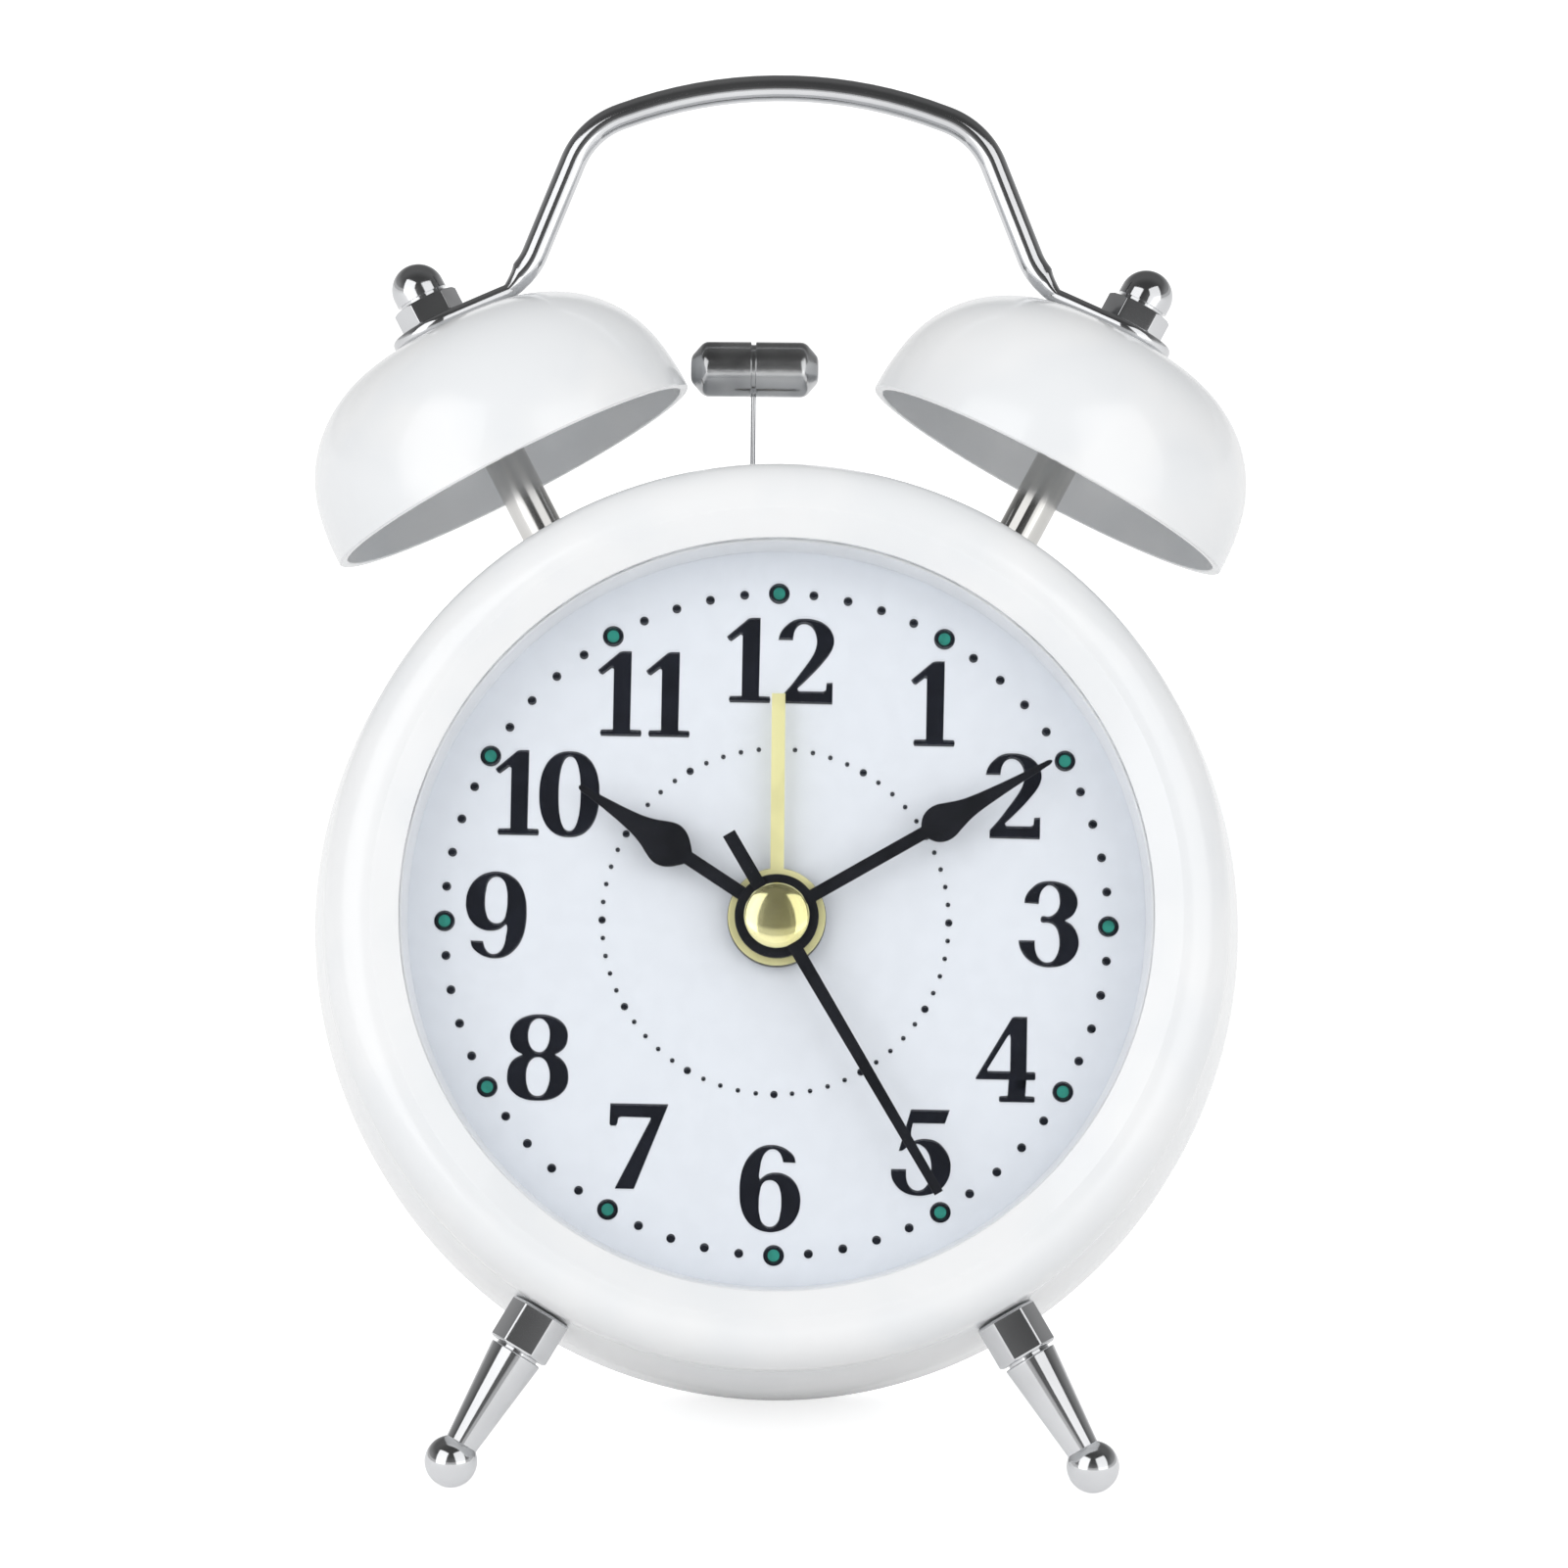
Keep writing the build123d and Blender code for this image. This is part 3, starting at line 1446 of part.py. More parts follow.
with BuildPart() as second_hand:
    with BuildSketch(body.offset(second_hand_back)):
        Circle(second_boss_r)
        Polygon(
            *hand_points(
                second_hand_angle,
                [
                    (second_hand_width * 3 / 4, -second_hand_tail),
                    (second_hand_width / 2, second_hand_length),
                ],
            ),
            align=None,
        )
        Circle(second_arbor_r, mode=Mode.SUBTRACT)
    extrude(amount=hand_thick)
keep(second_hand, "second_hand")

with BuildPart() as hand_cap:
    with BuildSketch(turning(body)):
        with BuildLine():
            cap_top = cap_back + cap_height
            Polyline((0, cap_top), (0, cap_back), (cap_r, cap_back), (cap_r, cap_back + cap_edge))
            TangentArc((0, cap_top), (cap_r, cap_back + cap_edge), tangent=(1, 0))
        make_face()
    revolve(axis=spin(body))
    rod(centre, cap_back, cap_back + 2 * arbor_fit, second_arbor_r + arbor_fit, mode=Mode.SUBTRACT)
keep(hand_cap, "hand_cap")

switch_rest_x = -switch_travel / 2
with BuildPart() as alarm_switch:
    with BuildSketch(body.offset(cover_inner + switch_fit)):
        with Locations((switch_rest_x, switch_y)):
            Rectangle(switch_width + 2 * switch_base_margin, switch_height + 2 * switch_base_margin)
    extrude(amount=switch_base_thick)
    with BuildSketch(body.offset(cover_inner + switch_fit)):
        with Locations((switch_rest_x, switch_y)):
            Rectangle(switch_width, switch_height)
    extrude(amount=cover_outer - switch_rise - cover_inner - switch_fit)
    with BuildSketch(body.offset(cover_outer - switch_rise)):
        with Locations((switch_rest_x, switch_y)):
            with GridLocations(2 * switch_rib, 0, 3, 1):
                Rectangle(switch_rib, switch_height)
    extrude(amount=switch_rib, mode=Mode.SUBTRACT)
keep(alarm_switch, "alarm_switch")

# The model stands with its box centred over the origin
boxes = [piece.bounding_box() for piece in pieces]
middle = (min(box.min.Y for box in boxes) + max(box.max.Y for box in boxes)) / 2
os.makedirs("parts", exist_ok=True)
for piece in pieces:
    export_step(piece.moved(Location((0, -middle, 0))), f"parts/{piece.label}.step")
print("lean", round(lean, 3), "stand height", round(stand_height, 3), "middle", round(middle, 3))
print("hammer swing", round(hammer_swing, 3), "pieces", len(pieces))
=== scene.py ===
import json
import math

import bpy
from mathutils import Matrix, Vector


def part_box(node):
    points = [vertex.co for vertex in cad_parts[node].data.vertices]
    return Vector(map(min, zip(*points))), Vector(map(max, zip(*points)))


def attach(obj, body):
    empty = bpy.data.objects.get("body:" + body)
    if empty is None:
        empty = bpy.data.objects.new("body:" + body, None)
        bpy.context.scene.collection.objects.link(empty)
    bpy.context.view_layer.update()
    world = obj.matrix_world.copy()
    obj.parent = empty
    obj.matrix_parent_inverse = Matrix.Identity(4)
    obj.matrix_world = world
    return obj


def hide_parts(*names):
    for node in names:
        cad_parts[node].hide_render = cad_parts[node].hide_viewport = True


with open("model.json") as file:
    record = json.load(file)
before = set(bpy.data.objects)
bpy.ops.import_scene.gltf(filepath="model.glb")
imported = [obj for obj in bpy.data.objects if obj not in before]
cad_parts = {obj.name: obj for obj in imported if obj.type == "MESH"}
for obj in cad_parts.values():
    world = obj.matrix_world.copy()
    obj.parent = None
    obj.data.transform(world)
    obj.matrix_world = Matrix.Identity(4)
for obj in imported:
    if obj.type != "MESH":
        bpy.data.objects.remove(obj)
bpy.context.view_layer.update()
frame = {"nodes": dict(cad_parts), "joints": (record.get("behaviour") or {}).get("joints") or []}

# Sizes are in millimetres until they reach Blender. Points nearer than FINE are one point.
MM = 0.001
FINE = 0.002 * MM
TURN = 2 * math.pi
ROUND_SMOOTH, PART_SMOOTH = 32, 30

# The clock's own axes
# x to the right, y to the twelve, z out of the dial, from the middle of the drum's back.
second_pivot = next(j for j in frame["joints"] if j["name"] == "second_turn")
FORWARD = -Vector(second_pivot["axis"]).normalized()
RIGHT = Vector((1, 0, 0))
TWELVE = FORWARD.cross(RIGHT)
PIVOT_DEPTH = 19.2 * MM
BACK_CENTRE = Vector(second_pivot["pos_m"]) - FORWARD * PIVOT_DEPTH
clock = Matrix.Translation(BACK_CENTRE) @ Matrix((RIGHT, TWELVE, FORWARD)).transposed().to_4x4()


def seat(x, y, depth, along=(0, 0, 1)):
    """Place on the clock in millimetres, with its z axis pointing along a direction of the clock."""
    out = Vector(along).normalized()
    level = Vector((0, 0, 1)) if abs(out.z) < 0.9 else Vector((0, 1, 0))
    side = level.cross(out).normalized()
    turn = Matrix((side, out.cross(side), out)).transposed().to_4x4()
    return clock @ Matrix.Translation(Vector((x, y, depth)) * MM) @ turn


# Modelling helpers
def start_fresh():
    """Leaves nothing selected, so that the next work touches its own piece only."""
    if bpy.context.object and bpy.context.object.mode == "EDIT":
        bpy.ops.object.mode_set(mode="OBJECT")
    bpy.ops.object.select_all(action="DESELECT")


def pick(piece):
    """Makes a piece the one that is worked on."""
    start_fresh()
    piece.select_set(True)
    bpy.context.view_layer.objects.active = piece


def close_up(piece, smooth=ROUND_SMOOTH):
    """Joins the seams, turns the faces outwards and shades the round parts smooth."""
    pick(piece)
    bpy.ops.object.mode_set(mode="EDIT")
    bpy.ops.mesh.select_all(action="SELECT")
    bpy.ops.mesh.remove_doubles(threshold=FINE)
    bpy.ops.mesh.normals_make_consistent(inside=False)
    bpy.ops.object.mode_set(mode="OBJECT")
    bpy.ops.object.shade_smooth_by_angle(angle=math.radians(smooth))


def put(piece, place):
    """Moves a piece from the bench to its seat on the clock, and keeps the place in its mesh."""
    pick(piece)
    piece.matrix_world = place @ piece.matrix_world
    bpy.ops.object.transform_apply(location=True, rotation=True, scale=True)
    return piece


def weld_together(name, pieces):
    """Joins pieces of one material into one."""
    pick(pieces[0])
    for piece in pieces:
        piece.select_set(True)
    bpy.ops.object.join()
    joined = bpy.context.object
    joined.name = name
    joined.data.name = name
    return joined


def arc_to(start, end, heading, steps):
    """Points of the arc that leaves start along a heading and reaches end."""
    start, end, heading = Vector(start), Vector(end), Vector(heading).normalized()
    chord = end - start
    left = Vector((-heading.y, heading.x))
    half = math.atan2(chord.dot(left), chord.dot(heading))
    radius = chord.length / (2 * math.sin(half))
    angles = [2 * half * step / steps for step in range(1, steps + 1)]
    return [tuple(start + radius * (math.sin(a) * heading + (1 - math.cos(a)) * left)) for a in angles]


def eased(corners, closed=True, finest=9):
    """Outline with its corners rounded: each corner is (x, y) or (x, y, radius)."""
    points = []
    count = len(corners)
    for place, corner in enumerate(corners):
        here = Vector(corner[:2])
        radius = corner[2] if len(corner) > 2 else 0
        if not radius or (not closed and place in (0, count - 1)):
            points.append(tuple(here))
            continue
        before = (Vector(corners[place - 1][:2]) - here).normalized()
        after = (Vector(corners[(place + 1) % count][:2]) - here).normalized()
        opening = before.angle(after)
        reach = radius / math.tan(opening / 2)
        start, end = here + before * reach, here + after * reach
        steps = max(2, round(math.degrees(math.pi - opening) / finest))
        points += [tuple(start)] + arc_to(start, end, -before, steps)
    return points


def draw_line(points):
    """Draws a line of points on the bench, in the plane of the lathe: (out, height)."""
    start_fresh()
    bpy.ops.mesh.primitive_plane_add(size=MM)
    bpy.ops.object.mode_set(mode="EDIT")
    bpy.ops.mesh.merge(type="CENTER")
    out, height = points[0]
    bpy.ops.transform.translate(value=(out * MM, 0, height * MM))
    for next_out, next_height in points[1:]:
        step = ((next_out - out) * MM, 0, (next_height - height) * MM)
        bpy.ops.mesh.extrude_region_move(TRANSFORM_OT_translate={"value": step})
        out, height = next_out, next_height


def turned(name, outline, place, closed=True, steps=96):
    """Piece turned on the lathe: half its outline in millimetres, spun about its seat's axis."""
    draw_line(outline + outline[:1] if closed else outline)
    bpy.ops.mesh.select_all(action="SELECT")
    bpy.ops.mesh.spin(steps=steps, angle=TURN, center=(0, 0, 0), axis=(0, 0, 1))
    bpy.ops.object.mode_set(mode="OBJECT")
    piece = bpy.context.object
    piece.name = piece.data.name = name
    close_up(piece)
    return put(piece, place)


def stamped(name, loops, low, high, edge=0.0, place=clock):
    """Piece cut from sheet: closed outlines in millimetres, (x, y) smooth or (x, y, 1) a corner."""
    start_fresh()
    bpy.ops.curve.primitive_bezier_curve_add()
    piece = bpy.context.object
    sheet = piece.data
    sheet.splines.clear()
    sheet.dimensions = "2D"
    sheet.fill_mode = "BOTH"
    sheet.resolution_u = sheet.render_resolution_u = 6
    for loop in loops:
        spline = sheet.splines.new("BEZIER")
        spline.bezier_points.add(len(loop) - 1)
        spline.use_cyclic_u = True
        for knot, spot in zip(spline.bezier_points, loop):
            knot.co = (spot[0] * MM, spot[1] * MM, 0)
            kind = "VECTOR" if len(spot) > 2 else "AUTO"
            knot.handle_left_type = knot.handle_right_type = kind
    sheet.extrude = ((high - low) / 2 - edge) * MM
    sheet.bevel_depth = edge * MM
    sheet.bevel_resolution = 3
    sheet.offset = -edge * MM
    bpy.ops.object.convert(target="MESH")
    piece = bpy.context.object
    piece.name = piece.data.name = name
    piece.location.z = (high + low) / 2 * MM
    bpy.ops.object.transform_apply(location=True, rotation=True, scale=True)
    close_up(piece)
    return put(piece, place)


def ring_points(radius, x=0.0, count=24, first=0.0, last=360.0):
    """Points of a circle, or of a part of it, clockwise from the twelve."""
    whole = last - first == 360.0
    steps = count if whole else count - 1
    angles = [math.radians(first + (last - first) * step / steps) for step in range(count)]
    return [(x + radius * math.sin(a), radius * math.cos(a)) for a in angles]


def round_end(radius, rise, height, angles):
    """Points of an oval end, (out, height), at each of the angles in degrees."""
    return [(radius * math.cos(math.radians(a)), height + rise * math.sin(math.radians(a))) for a in angles]


def refinished(node, name):
    """Copy of a part with its facets joined and its round faces shaded smooth."""
    start_fresh()
    source = frame["nodes"][node]
    piece = source.copy()
    piece.data = source.data.copy()
    for key in list(piece.keys()):
        del piece[key]
    piece.parent = None
    piece.matrix_world = Matrix.Identity(4)
    piece.name = piece.data.name = name
    bpy.context.scene.collection.objects.link(piece)
    pick(piece)
    bpy.ops.mesh.customdata_custom_splitnormals_clear()
    bpy.ops.object.mode_set(mode="EDIT")
    bpy.ops.mesh.select_all(action="SELECT")
    bpy.ops.mesh.remove_doubles(threshold=FINE)
    bpy.ops.object.mode_set(mode="OBJECT")
    bpy.ops.object.shade_smooth_by_angle(angle=math.radians(PART_SMOOTH))
    return piece


def mount(piece, body, slot, material, *nodes):
    """Fixes a piece to its body, gives it its finish, and hides the parts it stands for."""
    piece.data.materials.clear()
    piece.data.materials.append(material)
    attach(piece, body)
    if nodes:
        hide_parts(*nodes)


# Finishes
CLOUD_GRAINS = 14
CLOUD_STOPS, CLOUD_SPREAD = (0.42, 0.58), (0.3, 0.7)


def paint(code):
    """sRGB hex colour as the linear values that a shader takes."""
    values = [int(code[place : place + 2], 16) / 255 for place in (1, 3, 5)]
    return [v / 12.92 if v <= 0.04045 else ((v + 0.055) / 1.055) ** 2.4 for v in values] + [1]


def add(tree, kind, links=(), **settings):
    """Adds one node with its settings, and its inputs as numbers or as other nodes' outputs."""
    made = tree.nodes.new(kind)
    for key, value in settings.items():
        setattr(made, key, value)
    for name, value in dict(links).items():
        if isinstance(value, bpy.types.NodeSocket):
            tree.links.new(value, made.inputs[name])
        else:
            made.inputs[name].default_value = value
    return made


def new_finish(name):
    """Empty finish: its tree, its shader and the place on the piece."""
    material = bpy.data.materials.new(name)
    material.use_nodes = True
    tree = material.node_tree
    tree.nodes.clear()
    shader = add(tree, "ShaderNodeBsdfPrincipled")
    add(tree, "ShaderNodeOutputMaterial", {"Surface": shader.outputs[0]})
    spot = add(tree, "ShaderNodeTexCoord").outputs["Object"]
    return material, tree, shader, spot


def grained(name, light, dark, rough, grain_mm, depth_mm, metal=0.0, coat=0.0, gloss=0.5):
    """Finish with a grain: two close colours, a roughness from smooth to dull, and a fine relief."""
    material, tree, shader, spot = new_finish(name)
    fine = {"Vector": spot, "Scale": 1 / (grain_mm * MM), "Detail": 3.0}
    grain = add(tree, "ShaderNodeTexNoise", fine).outputs[0]
    broad = {"Vector": spot, "Scale": 1 / (CLOUD_GRAINS * grain_mm * MM), "Detail": 2.0}
    cloud = add(tree, "ShaderNodeTexNoise", broad).outputs[0]
    tone = add(tree, "ShaderNodeValToRGB", {"Fac": cloud})
    for stop, position, code in zip(tone.color_ramp.elements, CLOUD_STOPS, (dark, light)):
        stop.position, stop.color = position, paint(code)
    tree.links.new(tone.outputs[0], shader.inputs["Base Color"])
    low, high = CLOUD_SPREAD
    spread = {"Value": cloud, "From Min": low, "From Max": high, "To Min": rough[0], "To Max": rough[1]}
    dull = add(tree, "ShaderNodeMapRange", spread)
    tree.links.new(dull.outputs[0], shader.inputs["Roughness"])
    height = {"Height": grain, "Strength": 1.0, "Distance": depth_mm * MM}
    tree.links.new(add(tree, "ShaderNodeBump", height).outputs[0], shader.inputs["Normal"])
    shader.inputs["Metallic"].default_value = metal
    shader.inputs["Coat Weight"].default_value = coat
    shader.inputs["Coat Roughness"].default_value = 0.06
    shader.inputs["Specular IOR Level"].default_value = gloss
    return material


# Stove enamel over pressed steel: hard gloss white, with the faint orange peel of sprayed paint.
stove_enamel = grained("stove_enamel_sprayed", "#F1F2F3", "#ECEEF0", (0.2, 0.27), 0.9, 0.002, coat=0.35)
# ABS moulded in a polished tool: white, softer gloss.
abs_polished = grained("white_abs_moulded", "#EDEFF2", "#E8EAED", (0.3, 0.38), 0.6, 0.002)
# ABS moulded in a spark-eroded tool: the fine even grain of the back cover.
abs_eroded = grained("white_abs_spark_eroded", "#EAEBEC", "#E7E8EA", (0.5, 0.62), 0.28, 0.03)
# Coated card, printed: flat bluish white with the faint cloud of paper fibres.
dial_card = grained("white_card_coated", "#E2E7EE", "#E0E5EC", (0.55, 0.65), 0.12, 0.002)
# Screen ink: near-black navy, matt, with little shine of its own.
screen_ink = grained("navy_screen_ink", "#191C26", "#151821", (0.45, 0.55), 0.2, 0.003, gloss=0.15)
# Luminous paint in drops: matt green, chalky grains.
lume_paint = grained("luminous_paint_green", "#2F8F80", "#277D70", (0.6, 0.75), 0.1, 0.01, gloss=0.25)
# Bright chrome on drawn wire and turned steel: mirror bright, with the ghost of its polishing.
chrome = grained("chrome_plated_steel_polished", "#D6D7D9", "#CDCED0", (0.08, 0.14), 0.8, 0.0006, metal=1.0)
# Nickel plate on a tumbled striker head: the fine pits of the barrel show through the plate.
tumbled_nickel = grained(
    "nickel_plated_steel_tumbled", "#C4C5C6", "#A9AAAC", (0.12, 0.24), 0.4, 0.012, metal=1.0
)
# Nickel plate on the posts: a little warmer and duller than chrome.
nickel = grained("nickel_plated_steel_turned", "#D2D1CF", "#C8C7C4", (0.1, 0.18), 0.5, 0.001, metal=1.0)
# Zinc plate, blue passivated: cold grey, cloudy.
zinc = grained("zinc_plated_steel_stamped", "#C3C9CF", "#A9B0B8", (0.28, 0.42), 0.5, 0.003, metal=1.0)
# Spring steel strip, rolled: grey with a satin sheen.
spring_steel = grained("spring_steel_rolled", "#B4B6B8", "#9B9DA0", (0.2, 0.32), 0.4, 0.002, metal=1.0)
# Vulcanised fibre: matt red-brown, fibrous.
fibre = grained("vulcanised_fibre_punched", "#7E4232", "#6A3528", (0.7, 0.85), 0.3, 0.01)
# Machined brass: warm yellow.
brass = grained("brass_machined", "#E0C070", "#CDAA58", (0.18, 0.3), 0.4, 0.002, metal=1.0)
# ABS moulded black with an eroded grain: knobs, slide and movement case.
black_abs = grained("black_abs_moulded", "#1C1D1F", "#151617", (0.38, 0.5), 0.3, 0.012)
# Acetal, natural: milky white gear plastic, waxy.
acetal = grained("natural_acetal_moulded", "#E9E7E0", "#DEDBD2", (0.32, 0.42), 0.4, 0.002)
# Lacquered aluminium, blanked: the black hands.
black_lacquer = grained(
    "black_lacquer_on_aluminium", "#181A21", "#13151B", (0.35, 0.45), 0.25, 0.003, gloss=0.2
)
# Pale gold lacquer on aluminium: the alarm hand.
pale_gold = grained(
    "pale_gold_lacquer_on_aluminium", "#E6E2A6", "#DAD69C", (0.35, 0.45), 0.3, 0.003, coat=0.2
)
# Gold-tone plating, polished: the cap in the middle.
gold_plate = grained("gold_plated_brass_polished", "#F0EBB4", "#E6E0A2", (0.07, 0.12), 0.6, 0.0006, metal=1.0)

WIPE_SCALE = 0.06 / MM
WEAVE_SCALE = 1.2 / MM
WINDING_SCALE = 1 / (0.5 * MM)
FILM_SCALE = 0.3 / MM


def acrylic():
    """Cast acrylic, polished: the eye sees only its shine, faintly uneven from wiping."""
    material, tree, shader, spot = new_finish("clear_acrylic_polished")
    wipe = add(tree, "ShaderNodeTexNoise", {"Vector": spot, "Scale": WIPE_SCALE, "Detail": 2.0}).outputs[0]
    haze = add(tree, "ShaderNodeMapRange", {"Value": wipe, "To Min": 0.02, "To Max": 0.05})
    tree.links.new(haze.outputs[0], shader.inputs["Roughness"])
    shader.inputs["Base Color"].default_value = paint("#FFFFFF")
    shader.inputs["Transmission Weight"].default_value = 1.0
    shader.inputs["IOR"].default_value = 1.49
    shader.inputs["Alpha"].default_value = 0.08
    return material


def circuit_laminate():
    """Glass-epoxy board under solder mask: green, with the 0.4 mm weave of the glass faintly through it."""
    material, tree, shader, spot = new_finish("glass_epoxy_board_masked")
    weave = add(tree, "ShaderNodeTexBrick", {"Vector": spot, "Scale": WEAVE_SCALE})
    weave.inputs["Color1"].default_value = paint("#1F6B45")
    weave.inputs["Color2"].default_value = paint("#1B5E3D")
    weave.inputs["Mortar"].default_value = paint("#17503A")
    tree.links.new(weave.outputs[0], shader.inputs["Base Color"])
    shader.inputs["Roughness"].default_value = 0.35
    return material


def enamelled_winding():
    """Enamelled copper wire wound side by side: each turn about 0.16 mm."""
    material, tree, shader, spot = new_finish("copper_wire_enamelled")
    turns = add(tree, "ShaderNodeTexWave", {"Vector": spot, "Scale": WINDING_SCALE, "Distortion": 0.4})
    tone = add(tree, "ShaderNodeValToRGB", {"Fac": turns.outputs["Fac"]})
    tone.color_ramp.elements[0].color = paint("#7A3A1C")
    tone.color_ramp.elements[1].color = paint("#C87444")
    tree.links.new(tone.outputs[0], shader.inputs["Base Color"])
    relief = add(
        tree, "ShaderNodeBump", {"Height": turns.outputs["Fac"], "Strength": 1.0, "Distance": 0.04 * MM}
    )
    tree.links.new(relief.outputs[0], shader.inputs["Normal"])
    shader.inputs["Metallic"].default_value = 0.8
    shader.inputs["Roughness"].default_value = 0.3
    return material


def printed_jacket():
    """Shrink film on the cell: charcoal with a copper band towards its cap, bare steel at both ends."""
    material, tree, shader, spot = new_finish("shrink_film_on_steel_can")
    low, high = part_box("battery")
    across = add(tree, "ShaderNodeSeparateXYZ", {"Vector": spot}).outputs["X"]
    along = add(
        tree, "ShaderNodeMapRange", {"Value": across, "From Min": low.x, "From Max": high.x}
    ).outputs[0]
    bands = add(tree, "ShaderNodeValToRGB", {"Fac": along})
    ramp = bands.color_ramp
    ramp.interpolation = "CONSTANT"
    ramp.elements[0].color = paint("#B9BCC0")
    ramp.elements[1].position = 0.03
    ramp.elements[1].color = paint("#2B2D31")
    for position, code in ((0.72, "#B5713C"), (0.95, "#B9BCC0")):
        ramp.elements.new(position).color = paint(code)
    tree.links.new(bands.outputs[0], shader.inputs["Base Color"])
    grain = add(tree, "ShaderNodeTexNoise", {"Vector": spot, "Scale": FILM_SCALE}).outputs[0]
    dull = add(tree, "ShaderNodeMapRange", {"Value": grain, "To Min": 0.27, "To Max": 0.32})
    tree.links.new(dull.outputs[0], shader.inputs["Roughness"])
    return material


clear_acrylic = acrylic()
laminate = circuit_laminate()
copper_wire = enamelled_winding()
cell_film = printed_jacket()

# Drum, bezel, window and dial: radii, and depths from the drum's back
BEZEL_R, BEZEL_ROUND, BEZEL_BACK, BEZEL_FRONT = 40.0, 4.0, 33.0, 42.0
BEZEL_FACE_R, BEZEL_MOUTH_R, BEZEL_LIP = 35.7, 33.2, 40.7
BEZEL_BORE_R, BEZEL_SEAT_R, BEZEL_SEAT = 35.15, 39.0, 36.7
LENS_R, LENS_BACK, LENS_FRONT = 35.0, 39.2, 40.2
DIAL_R, DIAL_BORE_R, DIAL_BACK, DIAL_FRONT = 36.5, 3.6, 34.2, 34.7
SURROUND_BACK_R, SURROUND_FRONT_R = 32.55, 33.0
DRUM_R, DRUM_END_R, DRUM_WIDEST, DRUM_END = 41.4, 39.6, 18.0, 33.0
DRUM_HOLE_R, DRUM_FLAT_R, DRUM_ROUND, DRUM_WALL = 34.5, 37.4, 4.0, 0.7
SPIGOT_R, SPIGOT_HEEL_R, SPIGOT_END = 38.9, 38.85, 36.6
SLOT_R, SLOT_HALF, SLOT_X, SLOT_DEPTH = 0.8, 2.26, -1.06, 19.0
CUTTER_START, CUTTER_LONG = 38.0, 6.0

bezel_outline = eased(
    [
        (BEZEL_SEAT_R, BEZEL_BACK, 0.1),
        (BEZEL_R, BEZEL_BACK, 0.06),
        (BEZEL_R, BEZEL_FRONT, BEZEL_ROUND),
        (BEZEL_FACE_R, BEZEL_FRONT, 0.3),
        (BEZEL_MOUTH_R, BEZEL_LIP, 0.12),
        (BEZEL_MOUTH_R, LENS_FRONT),
        (BEZEL_BORE_R, LENS_FRONT),
        (BEZEL_BORE_R, BEZEL_SEAT),
        (BEZEL_SEAT_R, BEZEL_SEAT),
    ],
    finest=6,
)
bezel = turned("bezel_ring", bezel_outline, clock, steps=180)
mount(bezel, "case", "white_enamel", stove_enamel, "bezel")

# The drum's sheet, from the hole in its back out to its end, over the spigot and back along the inside
inner_r = DRUM_R - DRUM_WALL
drum_outline = [(DRUM_HOLE_R, 0), (DRUM_FLAT_R, 0)]
drum_outline += arc_to((DRUM_FLAT_R, 0), (DRUM_R, DRUM_ROUND), (1, 0), 14) + [(DRUM_R, DRUM_WIDEST)]
drum_outline += arc_to((DRUM_R, DRUM_WIDEST), (DRUM_END_R, DRUM_END), (0, 1), 10)
drum_outline += [(SPIGOT_R, DRUM_END), (SPIGOT_R, SPIGOT_END), (SPIGOT_R - DRUM_WALL, SPIGOT_END)]
drum_outline += [(SPIGOT_R - DRUM_WALL, DRUM_END - DRUM_WALL), (SPIGOT_HEEL_R, DRUM_END - DRUM_WALL)]
drum_outline += arc_to((inner_r, DRUM_WIDEST), (SPIGOT_R, DRUM_END), (0, 1), 10)[-2::-1]
drum_outline += [(inner_r, DRUM_WIDEST), (inner_r, DRUM_ROUND)]
drum_outline += arc_to((DRUM_FLAT_R, DRUM_WALL), (inner_r, DRUM_ROUND), (1, 0), 10)[-2::-1]
drum_outline += [(DRUM_FLAT_R, DRUM_WALL), (DRUM_HOLE_R, DRUM_WALL)]
drum = turned("drum_shell", drum_outline, clock, steps=180)

# The slot in its top that the hammer's stem swings in
slot_ends = ring_points(SLOT_R, x=SLOT_HALF, count=9, first=0, last=180)
slot_ends += ring_points(SLOT_R, x=-SLOT_HALF, count=9, first=180, last=359.99)
slot_seat = seat(SLOT_X, CUTTER_START, SLOT_DEPTH, (0, 1, 0))
slot_cutter = stamped("slot_cutter", [slot_ends], 0, CUTTER_LONG, place=slot_seat)
pick(drum)
slot = drum.modifiers.new("hammer_slot", "BOOLEAN")
slot.operation = "DIFFERENCE"
slot.solver = "EXACT"
slot.object = slot_cutter
bpy.ops.object.modifier_apply(modifier=slot.name)
bpy.data.objects.remove(slot_cutter)
close_up(drum)
mount(drum, "case", "white_enamel", stove_enamel, "case_shell")

surround_outline = eased(
    [
        (SURROUND_BACK_R, DIAL_FRONT, 0.15),
        (LENS_R, DIAL_FRONT),
        (LENS_R, LENS_BACK),
        (SURROUND_FRONT_R, LENS_BACK, 0.2),
    ]
)
surround = turned("dial_surround", surround_outline, clock, steps=180)
mount(surround, "case", "white_plastic", abs_polished, "surround_ring")

lens_corners = [(0, LENS_BACK), (LENS_R, LENS_BACK, 0.1), (LENS_R, LENS_FRONT, 0.2), (0, LENS_FRONT)]
lens = turned("lens_disc", eased(lens_corners, closed=False), clock, closed=False, steps=120)
mount(lens, "case", "clear_lens", clear_acrylic, "lens")

dial_corners = [(DIAL_BORE_R, DIAL_BACK), (DIAL_R, DIAL_BACK, 0.05), (DIAL_R, DIAL_FRONT, 0.05)]
dial = turned("dial_disc", eased(dial_corners + [(DIAL_BORE_R, DIAL_FRONT)]), clock, steps=120)
mount(dial, "case", "dial_card", dial_card, "dial")

